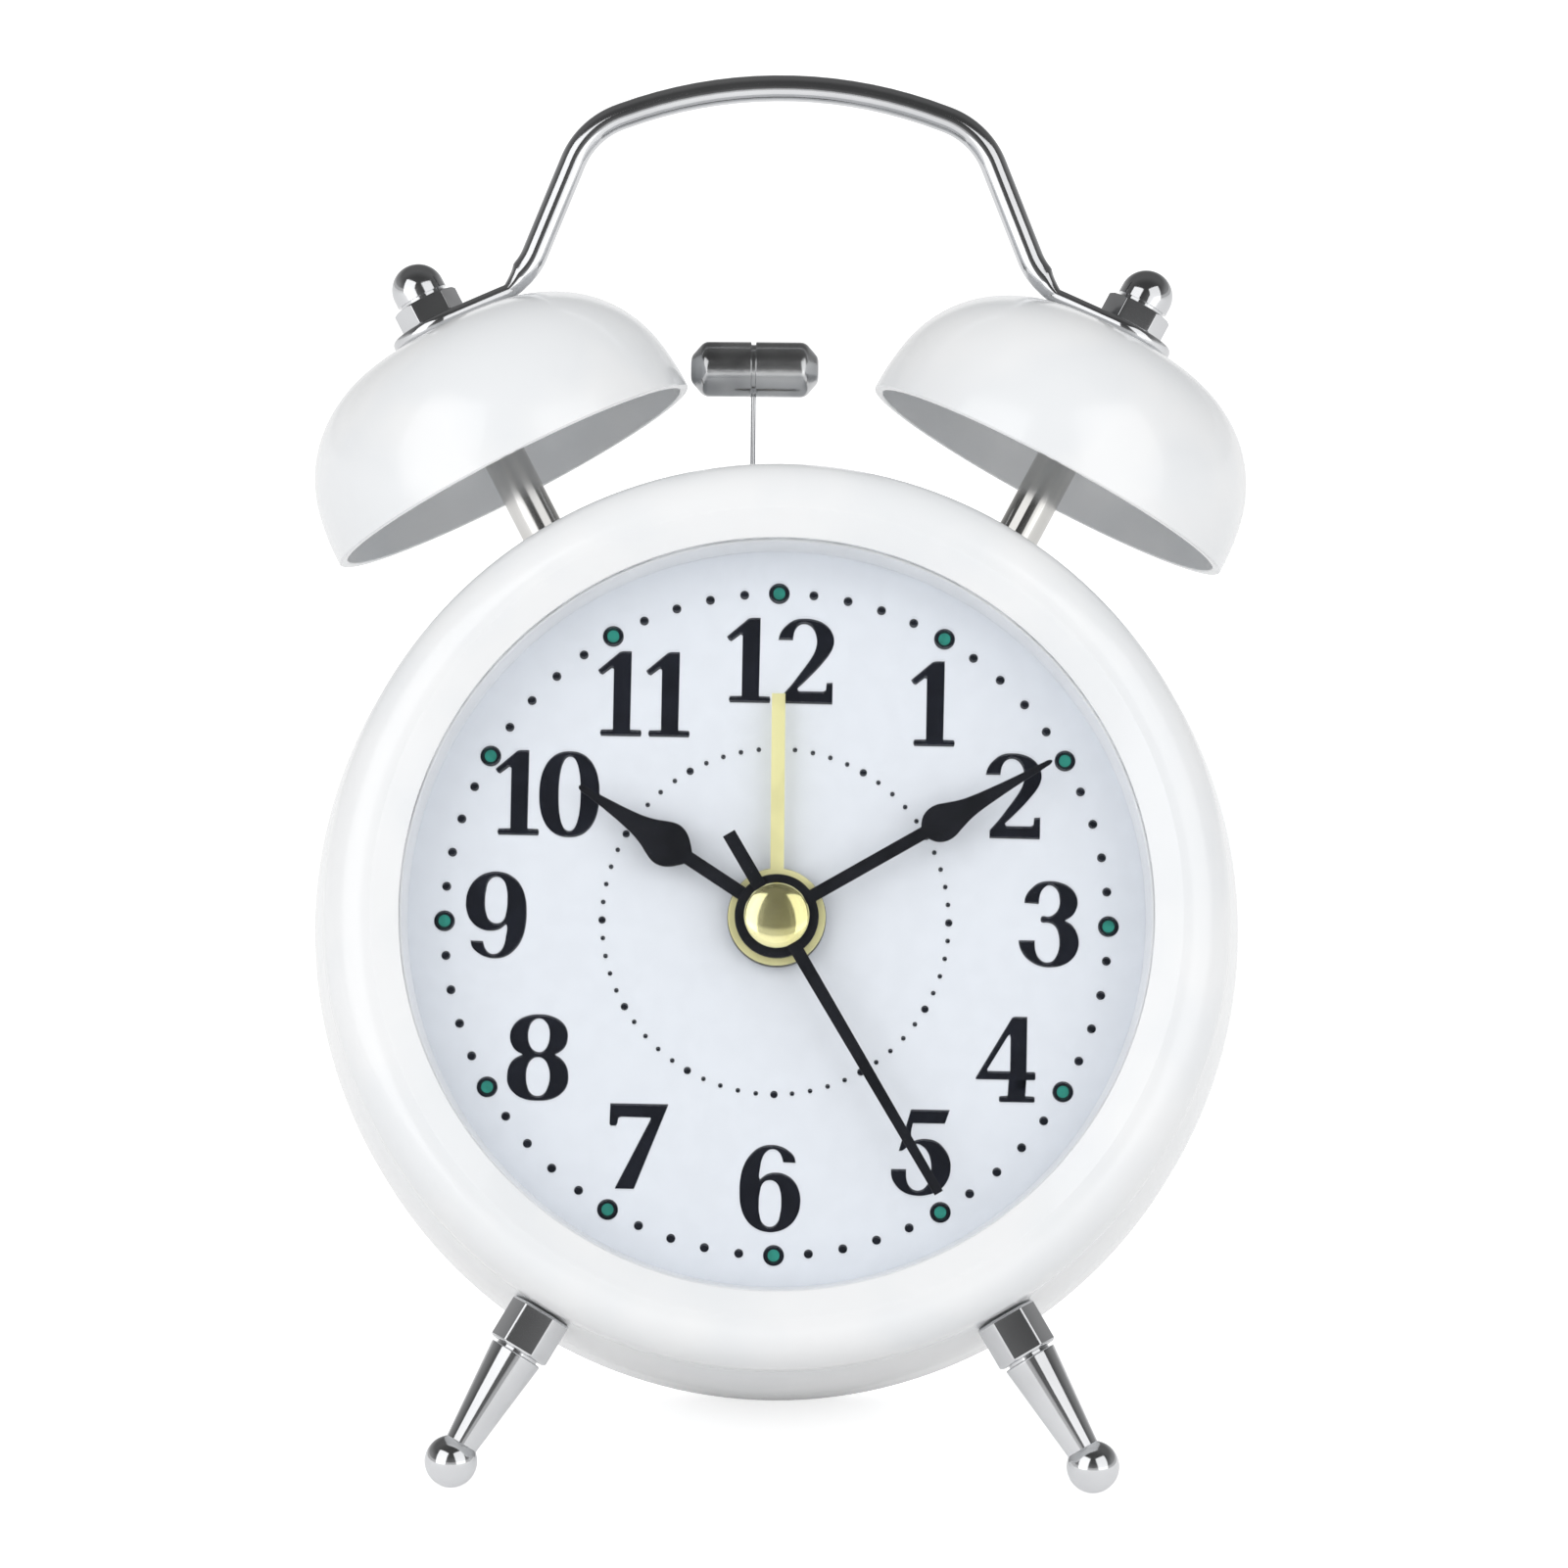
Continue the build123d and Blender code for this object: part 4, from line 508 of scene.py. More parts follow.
# Print on the dial, a little low and turned a little, as it is in the photograph
PRINT_LOW, PRINT_HIGH = 34.695, 34.72
NUMERAL_HEIGHT = 7.6
PRINT_TURN, PRINT_DROP = 0.5, 0.6
print_seat = seat(0, -PRINT_DROP, 0)

# Outlines of the figures, each one high: (x, y) smooth, (x, y, 1) a corner. TWO and ZERO stand right of
# the middle, where the 12 and the 10 have them.
ONE = [
    (-0.27, 0.775, 1), (-0.02, 0.99, 1), (0.02, 1.0, 1), (0.12, 1.0, 1), (0.115, 0.085, 1),
    (0.24, 0.08, 1), (0.25, 0.045, 1), (0.24, 0.005, 1), (-0.22, 0.005, 1), (-0.235, 0.045, 1),
    (-0.22, 0.08, 1), (-0.085, 0.085, 1), (-0.085, 0.79, 1), (-0.11, 0.80, 1), (-0.215, 0.72, 1),
    (-0.245, 0.735, 1),
]
TWO = [
    (-0.035, 0.745, 1), (-0.01, 0.83), (0.06, 0.92), (0.16, 0.985), (0.27, 1.0), (0.40, 0.985),
    (0.51, 0.935), (0.585, 0.85), (0.615, 0.745), (0.60, 0.66), (0.56, 0.58), (0.50, 0.50),
    (0.42, 0.405), (0.32, 0.30), (0.24, 0.22), (0.195, 0.18, 1), (0.215, 0.15, 1), (0.50, 0.15, 1),
    (0.53, 0.17, 1), (0.535, 0.25, 1), (0.605, 0.255, 1), (0.605, 0.0, 1), (0.02, 0.005, 1),
    (0.02, 0.10, 1), (0.06, 0.145), (0.14, 0.24), (0.22, 0.35), (0.30, 0.46), (0.37, 0.57),
    (0.40, 0.64), (0.415, 0.73), (0.405, 0.80), (0.375, 0.87), (0.33, 0.915), (0.27, 0.935),
    (0.21, 0.92), (0.17, 0.88), (0.145, 0.82), (0.135, 0.745, 1),
]
THREE = [
    (-0.285, 0.745, 1), (-0.27, 0.82), (-0.21, 0.91), (-0.12, 0.98), (0, 1.005), (0.13, 0.99),
    (0.24, 0.94), (0.31, 0.86), (0.335, 0.77), (0.32, 0.68), (0.27, 0.60), (0.19, 0.548, 1),
    (0.27, 0.50), (0.33, 0.41), (0.355, 0.30), (0.34, 0.20), (0.28, 0.10), (0.18, 0.03), (0.04, 0),
    (-0.10, 0.015), (-0.21, 0.07), (-0.29, 0.15), (-0.335, 0.25), (-0.345, 0.31, 1),
    (-0.155, 0.31, 1), (-0.155, 0.25), (-0.14, 0.17), (-0.10, 0.10), (-0.04, 0.06), (0.02, 0.06),
    (0.06, 0.08), (0.10, 0.14), (0.125, 0.22), (0.13, 0.30), (0.12, 0.38), (0.09, 0.46),
    (0.04, 0.505), (-0.02, 0.52), (-0.07, 0.52), (-0.085, 0.53), (-0.085, 0.585), (-0.07, 0.595),
    (0, 0.59), (0.05, 0.61), (0.10, 0.66), (0.125, 0.73), (0.125, 0.80), (0.105, 0.88),
    (0.06, 0.935), (0, 0.955), (-0.05, 0.93), (-0.09, 0.88), (-0.11, 0.81), (-0.115, 0.735, 1),
]
FOUR = [
    (0.06, 0.99, 1), (0.09, 1.0, 1), (0.235, 1.0, 1), (0.235, 0.36, 1), (0.325, 0.36, 1),
    (0.34, 0.345, 1), (0.34, 0.275, 1), (0.325, 0.265, 1), (0.235, 0.265, 1), (0.225, 0.08, 1),
    (0.32, 0.075, 1), (0.335, 0.06, 1), (0.335, 0.015, 1), (0.32, 0.005, 1), (-0.065, 0.005, 1),
    (-0.08, 0.02, 1), (-0.08, 0.065, 1), (-0.065, 0.075, 1), (0.02, 0.08, 1), (0.03, 0.265, 1),
    (-0.345, 0.265, 1), (-0.355, 0.275, 1), (-0.35, 0.29, 1),
]
FOUR_EYE = [
    (-0.215, 0.365, 1), (0.045, 0.365, 1), (0.045, 0.75, 1), (0.035, 0.79, 1), (0.01, 0.77, 1),
    (-0.22, 0.385, 1),
]
FIVE = [
    (-0.125, 1.0, 1), (0.325, 1.0, 1), (0.27, 0.84, 1), (-0.10, 0.84, 1), (-0.12, 0.72),
    (-0.10, 0.63, 1), (-0.04, 0.65), (0.06, 0.66), (0.18, 0.63), (0.27, 0.55), (0.33, 0.44),
    (0.345, 0.32), (0.31, 0.18), (0.22, 0.07), (0.08, 0.01), (-0.06, 0), (-0.20, 0.04),
    (-0.29, 0.12), (-0.34, 0.22), (-0.345, 0.305, 1), (-0.17, 0.305, 1), (-0.17, 0.26),
    (-0.165, 0.19), (-0.13, 0.11), (-0.07, 0.065), (0, 0.065), (0.07, 0.12), (0.11, 0.22),
    (0.12, 0.33), (0.11, 0.42), (0.08, 0.50), (0.02, 0.57), (-0.05, 0.60), (-0.15, 0.57),
    (-0.22, 0.52), (-0.26, 0.515, 1),
]
SIX = [
    (0.29, 0.805, 1), (0.27, 0.88), (0.20, 0.95), (0.11, 0.995), (0, 1.01), (-0.12, 0.985),
    (-0.23, 0.90), (-0.31, 0.77), (-0.35, 0.60), (-0.355, 0.45), (-0.34, 0.30), (-0.28, 0.15),
    (-0.18, 0.05), (-0.04, 0), (0.10, 0.01), (0.22, 0.07), (0.31, 0.18), (0.35, 0.33),
    (0.335, 0.48), (0.27, 0.60), (0.17, 0.67), (0.06, 0.69), (-0.04, 0.67), (-0.12, 0.61, 1),
    (-0.13, 0.63), (-0.12, 0.75), (-0.10, 0.85), (-0.05, 0.93), (0.02, 0.96), (0.08, 0.94),
    (0.12, 0.89), (0.14, 0.83), (0.145, 0.81, 1),
]
SIX_EYE = [
    (-0.01, 0.60), (0.07, 0.57), (0.115, 0.48), (0.13, 0.35), (0.12, 0.22), (0.08, 0.10), (0, 0.06),
    (-0.08, 0.10), (-0.12, 0.20), (-0.13, 0.33), (-0.12, 0.46), (-0.08, 0.57),
]
SEVEN = [
    (-0.33, 1.0, 1), (0.34, 1.0, 1), (0.34, 0.985, 1), (-0.04, 0.01, 1), (-0.26, 0.01, 1),
    (-0.255, 0.03, 1), (0.14, 0.82, 1), (0.14, 0.84, 1), (-0.20, 0.845, 1), (-0.235, 0.83, 1),
    (-0.245, 0.77, 1), (-0.26, 0.74, 1), (-0.32, 0.74, 1), (-0.335, 0.76, 1),
]
EIGHT = [
    (0.01, 1.005), (0.15, 0.985), (0.27, 0.92), (0.33, 0.83), (0.34, 0.73), (0.31, 0.63),
    (0.25, 0.57), (0.195, 0.54, 1), (0.27, 0.49), (0.33, 0.41), (0.355, 0.29), (0.34, 0.18),
    (0.28, 0.09), (0.16, 0.02), (0, 0), (-0.16, 0.02), (-0.28, 0.09), (-0.345, 0.19),
    (-0.355, 0.29), (-0.335, 0.40), (-0.28, 0.48), (-0.18, 0.535, 1), (-0.26, 0.58), (-0.31, 0.65),
    (-0.33, 0.74), (-0.31, 0.84), (-0.24, 0.93), (-0.13, 0.985),
]
EIGHT_TOP_EYE = [
    (0.01, 0.955), (0.08, 0.92), (0.12, 0.85), (0.13, 0.75), (0.11, 0.65), (0.06, 0.58),
    (0.01, 0.565), (-0.05, 0.585), (-0.10, 0.65), (-0.12, 0.75), (-0.11, 0.84), (-0.07, 0.92),
]
EIGHT_LOW_EYE = [
    (0, 0.505), (0.07, 0.48), (0.12, 0.40), (0.14, 0.29), (0.12, 0.17), (0.07, 0.08), (0, 0.055),
    (-0.07, 0.08), (-0.12, 0.17), (-0.135, 0.29), (-0.12, 0.40), (-0.07, 0.48),
]


def shifted(loop, aside):
    """A figure's outline moved sideways."""
    return [(spot[0] + aside,) + tuple(spot[1:]) for spot in loop]


def upside_down(loop):
    """A figure's outline turned half round, as a nine is a six."""
    return [(-spot[0], 1 - spot[1]) + tuple(spot[2:]) for spot in loop]


def oval(x, y, half_wide, half_high, squareness, count=20):
    """Upright oval with fuller sides than an ellipse's."""
    points = []
    for step in range(count):
        c, s = math.cos(TURN * step / count), math.sin(TURN * step / count)
        wide = half_wide * math.copysign(abs(c) ** (2 / squareness), c)
        high = half_high * math.copysign(abs(s) ** (2 / squareness), s)
        points.append((x + wide, y + high))
    return points


ZERO = oval(0.25, 0.4925, 0.35, 0.5025, 2.3)
ZERO_EYE = oval(0.2525, 0.4975, 0.1275, 0.4325, 2.3)
NINE, NINE_EYE = upside_down(SIX), upside_down(SIX_EYE)
FIGURES = {
    "12": ((0.18, 23.44), [shifted(ONE, -0.365), TWO]),
    "1": ((13.73, 19.73), [ONE]),
    "2": ((20.80, 11.61), [shifted(TWO, -0.2875)]),
    "3": ((23.99, 0.27), [THREE]),
    "4": ((20.36, -11.72), [FOUR, FOUR_EYE]),
    "5": ((12.90, -20.00), [FIVE]),
    "6": ((-0.36, -23.31), [SIX, SIX_EYE]),
    "7": ((-12.04, -19.70), [SEVEN]),
    "8": ((-20.93, -11.91), [EIGHT, EIGHT_TOP_EYE, EIGHT_LOW_EYE]),
    "9": ((-24.78, 0.71), [NINE, NINE_EYE]),
    "10": ((-20.31, 11.51), [shifted(ONE, -0.345), ZERO, ZERO_EYE]),
    "11": ((-11.83, 20.37), [shifted(ONE, -0.28), shifted(ONE, 0.28)]),
}
cos_turn, sin_turn = math.cos(math.radians(PRINT_TURN)), math.sin(math.radians(PRINT_TURN))
numerals = []
for figure, ((x, y), loops) in FIGURES.items():
    drawn = []
    for loop in loops:
        points = []
        for spot in loop:
            out = spot[0] * NUMERAL_HEIGHT
            rise = (spot[1] - 0.5) * NUMERAL_HEIGHT
            turned_spot = (x + out * cos_turn + rise * sin_turn, y + rise * cos_turn - out * sin_turn)
            points.append(turned_spot + tuple(spot[2:]))
        drawn.append(points)
    numerals.append(stamped("figure_" + figure, drawn, PRINT_LOW, PRINT_HIGH, place=print_seat))
mount(weld_together("dial_figures", numerals), "case", "dial_card", screen_ink)

MINUTE_DEGREES = 6
DOT_SIDES = 20


def dots(name, reach, radius, first_minutes, low, high, middle):
    """Round dots printed in a ring: one dot per place in the first hour, spun to the other eleven."""
    start_fresh()
    bpy.ops.mesh.primitive_circle_add(vertices=DOT_SIDES, radius=radius * MM, fill_type="NGON")
    bpy.ops.object.mode_set(mode="EDIT")
    bpy.ops.mesh.select_all(action="SELECT")
    thick = (high - low) * MM
    bpy.ops.mesh.extrude_region_move(TRANSFORM_OT_translate={"value": (0, 0, thick)})
    bpy.ops.mesh.select_all(action="SELECT")
    bpy.ops.transform.translate(value=(middle[0] * MM, (middle[1] + reach) * MM, low * MM))
    hub = (middle[0] * MM, middle[1] * MM, 0)
    # With no window the rotate operator turns the other way, so a plus here is clockwise.
    clockwise = math.radians(MINUTE_DEGREES * first_minutes[0])
    if clockwise:
        bpy.ops.transform.rotate(value=clockwise, orient_axis="Z", center_override=hub)
    more = len(first_minutes) - 1
    if more:
        span = math.radians(MINUTE_DEGREES * (first_minutes[-1] - first_minutes[0]))
        bpy.ops.mesh.spin(steps=more, angle=span, dupli=True, center=hub, axis=(0, 0, 1))
        bpy.ops.mesh.select_all(action="SELECT")
    bpy.ops.mesh.spin(steps=11, angle=TURN * 11 / 12, dupli=True, center=hub, axis=(0, 0, 1))
    bpy.ops.object.mode_set(mode="OBJECT")
    piece = bpy.context.object
    piece.name = piece.data.name = name
    close_up(piece)
    return put(piece, print_seat)


OUTER_MIDDLE, OUTER_REACH = (-0.02, 0.12), 29.3
INNER_MIDDLE, INNER_REACH = (-0.11, 0.32), 15.3
MINUTE_DOT_R, HOUR_DOT_R, LUME_R = 0.4, 0.93, 0.53
INNER_DOT_R, INNER_HOUR_R = 0.21, 0.33
LUME_LOW, LUME_HIGH = PRINT_HIGH - 0.01, PRINT_HIGH + 0.06
BETWEEN, ON_HOUR = (1, 2, 3, 4), (0,)
ink_rings = [
    dots("minute_dots", OUTER_REACH, MINUTE_DOT_R, BETWEEN, PRINT_LOW, PRINT_HIGH, OUTER_MIDDLE),
    dots("hour_rounds", OUTER_REACH, HOUR_DOT_R, ON_HOUR, PRINT_LOW, PRINT_HIGH, OUTER_MIDDLE),
    dots("inner_dots", INNER_REACH, INNER_DOT_R, BETWEEN, PRINT_LOW, PRINT_HIGH, INNER_MIDDLE),
    dots("inner_hour_dots", INNER_REACH, INNER_HOUR_R, ON_HOUR, PRINT_LOW, PRINT_HIGH, INNER_MIDDLE),
]
mount(weld_together("dial_dots", ink_rings), "case", "dial_card", screen_ink)
lume = dots("luminous_dots", OUTER_REACH, LUME_R, ON_HOUR, LUME_LOW, LUME_HIGH, OUTER_MIDDLE)
mount(lume, "case", "dial_card", lume_paint)


# Hands, each turned clockwise from the twelve to its place in the photograph
def hand_point(angle, distance, aside):
    """Point of a hand turned clockwise by an angle: distance towards its tip, aside to its right."""
    a = math.radians(angle)
    return (distance * math.sin(a) + aside * math.cos(a), distance * math.cos(a) - aside * math.sin(a))


def hand_loop(angle, half_outline, hub_r):
    """Closed outline of a hand: round the hub, then out along one side and back along the other."""
    stem_half = half_outline[0][1]
    gap = math.degrees(math.asin(stem_half / hub_r))
    hub = ring_points(hub_r, count=25, first=angle + gap, last=angle + 360 - gap)
    hub[0] = hub[0] + (1,)
    hub[-1] = hub[-1] + (1,)
    there = [hand_point(angle, spot[0], -spot[1]) + tuple(spot[2:]) for spot in half_outline[1:]]
    back = [hand_point(angle, spot[0], spot[1]) + tuple(spot[2:]) for spot in half_outline[1:]]
    if half_outline[-1][1] == 0:
        back = back[:-1]
    return hub + there + back[::-1]


# Half outlines, from the hub to the tip: (distance, half width) smooth, a third value for a corner
HOUR_HALF = [
    (0, 0.62), (9.35, 0.62, 1), (9.75, 1.05), (10.4, 1.62), (11.1, 1.95), (11.8, 2.0), (12.6, 1.74),
    (13.5, 1.33), (14.5, 1.0), (15.7, 0.77), (17.5, 0.54), (19.6, 0.33), (20.5, 0.27), (20.82, 0.18),
    (20.9, 0),
]
MINUTE_HALF = [
    (0, 0.57), (14.95, 0.57, 1), (15.2, 0.95), (15.7, 1.4), (16.4, 1.64), (17.1, 1.62), (18.0, 1.33),
    (19.1, 0.98), (20.3, 0.76), (22.0, 0.58), (24.5, 0.38), (27.2, 0.24), (27.75, 0.16), (27.9, 0),
]
ALARM_HALF = [(0, 0.6), (19.8, 0.6, 1)]
SWEEP_HALF = [(0, 0.6), (28.3, 0.41, 1)]
HAND_THICK, HAND_EDGE, SWEEP_EDGE = 0.25, 0.05, 0.04
ALARM_AT, HOUR_AT, MINUTE_AT, SECOND_AT = 0, 303, 60, 149.3
TAIL_LONG, TAIL_HALF = 8.4, 0.6

# Black ring round the dial nut, under the alarm hand's hub: it is there to give the dark crescent seen under
# that hub.
COLLAR_R, COLLAR_BORE_R, COLLAR_FRONT = 4.36, 4.1, 36.0
collar_outline = eased(
    [
        (COLLAR_BORE_R, DIAL_FRONT),
        (COLLAR_R, DIAL_FRONT),
        (COLLAR_R, COLLAR_FRONT, 0.1),
        (COLLAR_BORE_R, COLLAR_FRONT),
    ]
)
mount(turned("black_ring_round_dial_nut", collar_outline, clock), "case", "black_plastic", black_abs)

# From back to front: each hand's turn, half outline, hub and bore radius, and the depth of its back
for name, body, node, angle, half, hub_r, bore_r, back in (
    ("alarm_pointer", "alarm_train", "alarm_hand", ALARM_AT, ALARM_HALF, 4.3, 2.2, 36.2),
    ("hour_pointer", "hour_train", "hour_hand", HOUR_AT, HOUR_HALF, 3.7, 1.7, 36.75),
    ("minute_pointer", "minute_train", "minute_hand", MINUTE_AT, MINUTE_HALF, 3.7, 1.2, 37.3),
):
    slot, finish = ("gold_hand", pale_gold) if node == "alarm_hand" else ("black_hand", black_lacquer)
    loops = [hand_loop(angle, half, hub_r), ring_points(bore_r)]
    mount(stamped(name, loops, back, back + HAND_THICK, HAND_EDGE), body, slot, finish, node)

SWEEP_HUB_R, SWEEP_BORE_R, SWEEP_BACK = 2.2, 0.7, 37.85
sweep_front = SWEEP_BACK + HAND_THICK
sweep_loops = [hand_loop(SECOND_AT, SWEEP_HALF, SWEEP_HUB_R), ring_points(SWEEP_BORE_R)]
tail_corners = ((0, -TAIL_HALF), (0, TAIL_HALF), (-TAIL_LONG, TAIL_HALF), (-TAIL_LONG, -TAIL_HALF))
tail_loop = [hand_point(SECOND_AT, out, aside) + (1,) for out, aside in tail_corners]
sweep = stamped("sweep", sweep_loops, SWEEP_BACK, sweep_front, SWEEP_EDGE)
tail = stamped("sweep_tail", [tail_loop], SWEEP_BACK, sweep_front - 0.01, SWEEP_EDGE)
second_hand = weld_together("second_pointer", [sweep, tail])
mount(second_hand, "second_train", "black_hand", black_lacquer, "second_hand")

CAP_R, CAP_BACK, CAP_BELT, CAP_RISE, CAP_EDGE = 2.9, 38.1, 38.2, 0.7, 0.05
cap_outline = [(0, CAP_BACK), (CAP_R - CAP_EDGE, CAP_BACK), (CAP_R, CAP_BACK + CAP_EDGE), (CAP_R, CAP_BELT)]
cap_outline += round_end(CAP_R, CAP_RISE, CAP_BELT, range(6, 91, 6))
cap = turned("centre_cap", cap_outline, clock, closed=False, steps=64)
mount(cap, "second_train", "gold_hand", gold_plate, "hand_cap")

# Bells, posts and acorn nuts: heights are from the bell's mouth, along its post
SIDES = (("left", -1), ("right", 1))
BELL_DEPTH, BELL_TILT = 19.0, math.radians(27.7)
MOUTH_X, MOUTH_Y = 23.95, 40.905
CROWN, SHOULDER, FLANK, MOUTH_R = (5.0, 14.5), (12.65, 12.0), (17.15, 5.0), 17.6
BELL_WALL, BELL_BORE_R, LIP_EDGE = 0.8, 1.7, 0.1


def bell_seat(way):
    """Seat of a bell's mouth, with its axis along the post: way is -1 on the left, 1 on the right."""
    return seat(way * MOUTH_X, MOUTH_Y, BELL_DEPTH, (way * math.sin(BELL_TILT), math.cos(BELL_TILT), 0))


def bell_line(inset):
    """Half outline of a bell from its crown to its mouth, moved inwards by the wall."""
    first = 2 * math.atan2(CROWN[1] - SHOULDER[1], SHOULDER[0] - CROWN[0])
    chord = math.atan2(SHOULDER[1] - FLANK[1], FLANK[0] - SHOULDER[0])
    second = 2 * chord - first
    crown = (CROWN[0], CROWN[1] - inset)
    shoulder = (SHOULDER[0] - inset * math.sin(first), SHOULDER[1] - inset * math.cos(first))
    flank = (FLANK[0] - inset * math.sin(second), FLANK[1] - inset * math.cos(second))
    line = [crown] + arc_to(crown, shoulder, (1, 0), 14)
    line += arc_to(shoulder, flank, (math.cos(first), -math.sin(first)), 10)
    return line + arc_to(flank, (MOUTH_R - inset, 0), (math.cos(second), -math.sin(second)), 5)


inner_mouth_r = MOUTH_R - BELL_WALL
bell_outline = [(BELL_BORE_R, CROWN[1])] + bell_line(0)[:-1]
bell_outline += [(MOUTH_R, LIP_EDGE), (MOUTH_R - LIP_EDGE, 0), (inner_mouth_r + LIP_EDGE, 0)]
bell_outline += [(inner_mouth_r, LIP_EDGE)] + bell_line(BELL_WALL)[-2::-1]
bell_outline += [(BELL_BORE_R, CROWN[1] - BELL_WALL)]

# Hexagons: how steeply their corners are turned off, and how far the blank that does it stands clear
CHAMFER_SLOPE, HEX_SMOOTH = 0.55, 12
BAR_SPARE, END_SPARE = 0.2, 0.01


def hexagon(name, flats, low, high, chamfer, place, turn=0, bottom=False, worn=0.06):
    """Hex bar cut to length with worn edges, its corners turned off at the top, and below if asked."""
    start_fresh()
    corner_r = flats / math.sqrt(3)
    middle = (high + low) / 2
    bpy.ops.mesh.primitive_cylinder_add(
        vertices=6,
        radius=corner_r * MM,
        depth=(high - low) * MM,
        location=(0, 0, middle * MM),
        rotation=(0, 0, math.radians(30 + turn)),
    )
    bar = bpy.context.object
    bpy.ops.object.mode_set(mode="EDIT")
    bpy.ops.mesh.select_all(action="SELECT")
    bpy.ops.mesh.bevel(offset=worn * MM, segments=3, affect="EDGES")
    bpy.ops.object.mode_set(mode="OBJECT")
    bpy.ops.object.transform_apply(location=True, rotation=True, scale=True)
    side = corner_r + BAR_SPARE
    face = corner_r - chamfer
    drop = CHAMFER_SLOPE * (side - face)
    under, over = low - END_SPARE, high + END_SPARE
    blank_outline = [(0, under), (face, under), (side, low + drop)] if bottom else [(0, under), (side, under)]
    blank_outline += [(side, high - drop), (face, over), (0, over)]
    blank = turned(name + "_blank", blank_outline, Matrix.Identity(4), closed=False, steps=72)
    pick(bar)
    cut = bar.modifiers.new("corners", "BOOLEAN")
    cut.operation = "INTERSECT"
    cut.solver = "EXACT"
    cut.object = blank
    bpy.ops.object.modifier_apply(modifier=cut.name)
    bpy.data.objects.remove(blank)
    bar.name = bar.data.name = name
    close_up(bar, HEX_SMOOTH)
    return put(bar, place)


POST_R, POST_NECK_R = 1.95, 1.45
POST_LOW, POST_SHOULDER, POST_TOP = -6.6, 13.1, 18.2
NUT_SEAT, HEX_TOP = 15.8, 17.9
NUT_FLATS, NUT_CHAMFER, NUT_TURN = 5.3, 0.35, 4
DOME_R, DOME_NECK_R = 2.4, 2.1
DOME_ROOT, DOME_LOW, DOME_TOP = 17.7, 18.25, 21.4
post_outline = eased(
    [
        (0, POST_LOW),
        (POST_R, POST_LOW),
        (POST_R, POST_SHOULDER, 0.15),
        (POST_NECK_R, POST_SHOULDER),
        (POST_NECK_R, POST_TOP, 0.1),
        (0, POST_TOP),
    ],
    closed=False,
)
dome_outline = eased(
    [(0, DOME_ROOT), (DOME_NECK_R, DOME_ROOT), (DOME_NECK_R, DOME_LOW), (DOME_R, DOME_LOW, 0.08)],
    closed=False,
)
dome_outline += [(DOME_R, DOME_LOW + 0.1)] + round_end(DOME_R, DOME_R, DOME_TOP - DOME_R, range(0, 91, 5))
acorns = []
for side, way in SIDES:
    above = bell_seat(way)
    bell = turned("bell_gong_" + side, bell_outline, above, steps=144)
    mount(bell, "case", "white_enamel", stove_enamel, "bell_" + side)
    post = turned("bell_pillar_" + side, post_outline, above, closed=False, steps=48)
    mount(post, "case", "steel_post", nickel, "bell_post_" + side)
    hex_name = "nut_hex_" + side
    nut_hex = hexagon(hex_name, NUT_FLATS, NUT_SEAT, HEX_TOP, NUT_CHAMFER, above, NUT_TURN, bottom=True)
    nut_dome = turned("nut_dome_" + side, dome_outline, above, closed=False, steps=64)
    acorns += [nut_hex, nut_dome]
mount(weld_together("acorn_nut_pair", acorns), "case", "chrome_turned", chrome, "acorn_nuts")

# Carrying handle: one wire, its two ends pressed into eyes under the acorn nuts
WIRE_R, WIRE_HEIGHT, WIRE_START, WIRE_BEND_OUT = 1.2, 15.75, 6.9, 9.2
EYE_R, EYE_HOLE_R, EYE_NECK_R, EYE_EDGE = 4.35, 1.5, 1.3, 0.55
EYE_LOW, EYE_HIGH = CROWN[1], NUT_SEAT
PRESS_START, PRESS_END = 8.7, 6.95
PRESS_REACH, PRESS_SPREAD = 3, 0.1
KNEE_BEND, CORNER_BEND, CROWN_BEND = 5.9, 7.3, 41.0
BEND_STEP, WIRE_SMOOTH = 2.5, 40
KNEE_TO_CORNER, CROWN_RISE = Vector((-5.33, 13.38)), 6.71
tilt_out = Vector((math.cos(BELL_TILT), -math.sin(BELL_TILT)))
tilt_up = Vector((math.sin(BELL_TILT), math.cos(BELL_TILT)))
mouth = Vector((MOUTH_X, MOUTH_Y))
wire_end = mouth - WIRE_START * tilt_out + WIRE_HEIGHT * tilt_up
knee = mouth - WIRE_BEND_OUT * tilt_out + WIRE_HEIGHT * tilt_up
corner = knee + KNEE_TO_CORNER
crown = Vector((0, corner.y + CROWN_RISE))
route = [Vector((-p.x, p.y)) for p in (wire_end, knee, corner)] + [crown, corner, knee, wire_end]
bends = [KNEE_BEND, CORNER_BEND, CROWN_BEND, CORNER_BEND, KNEE_BEND]


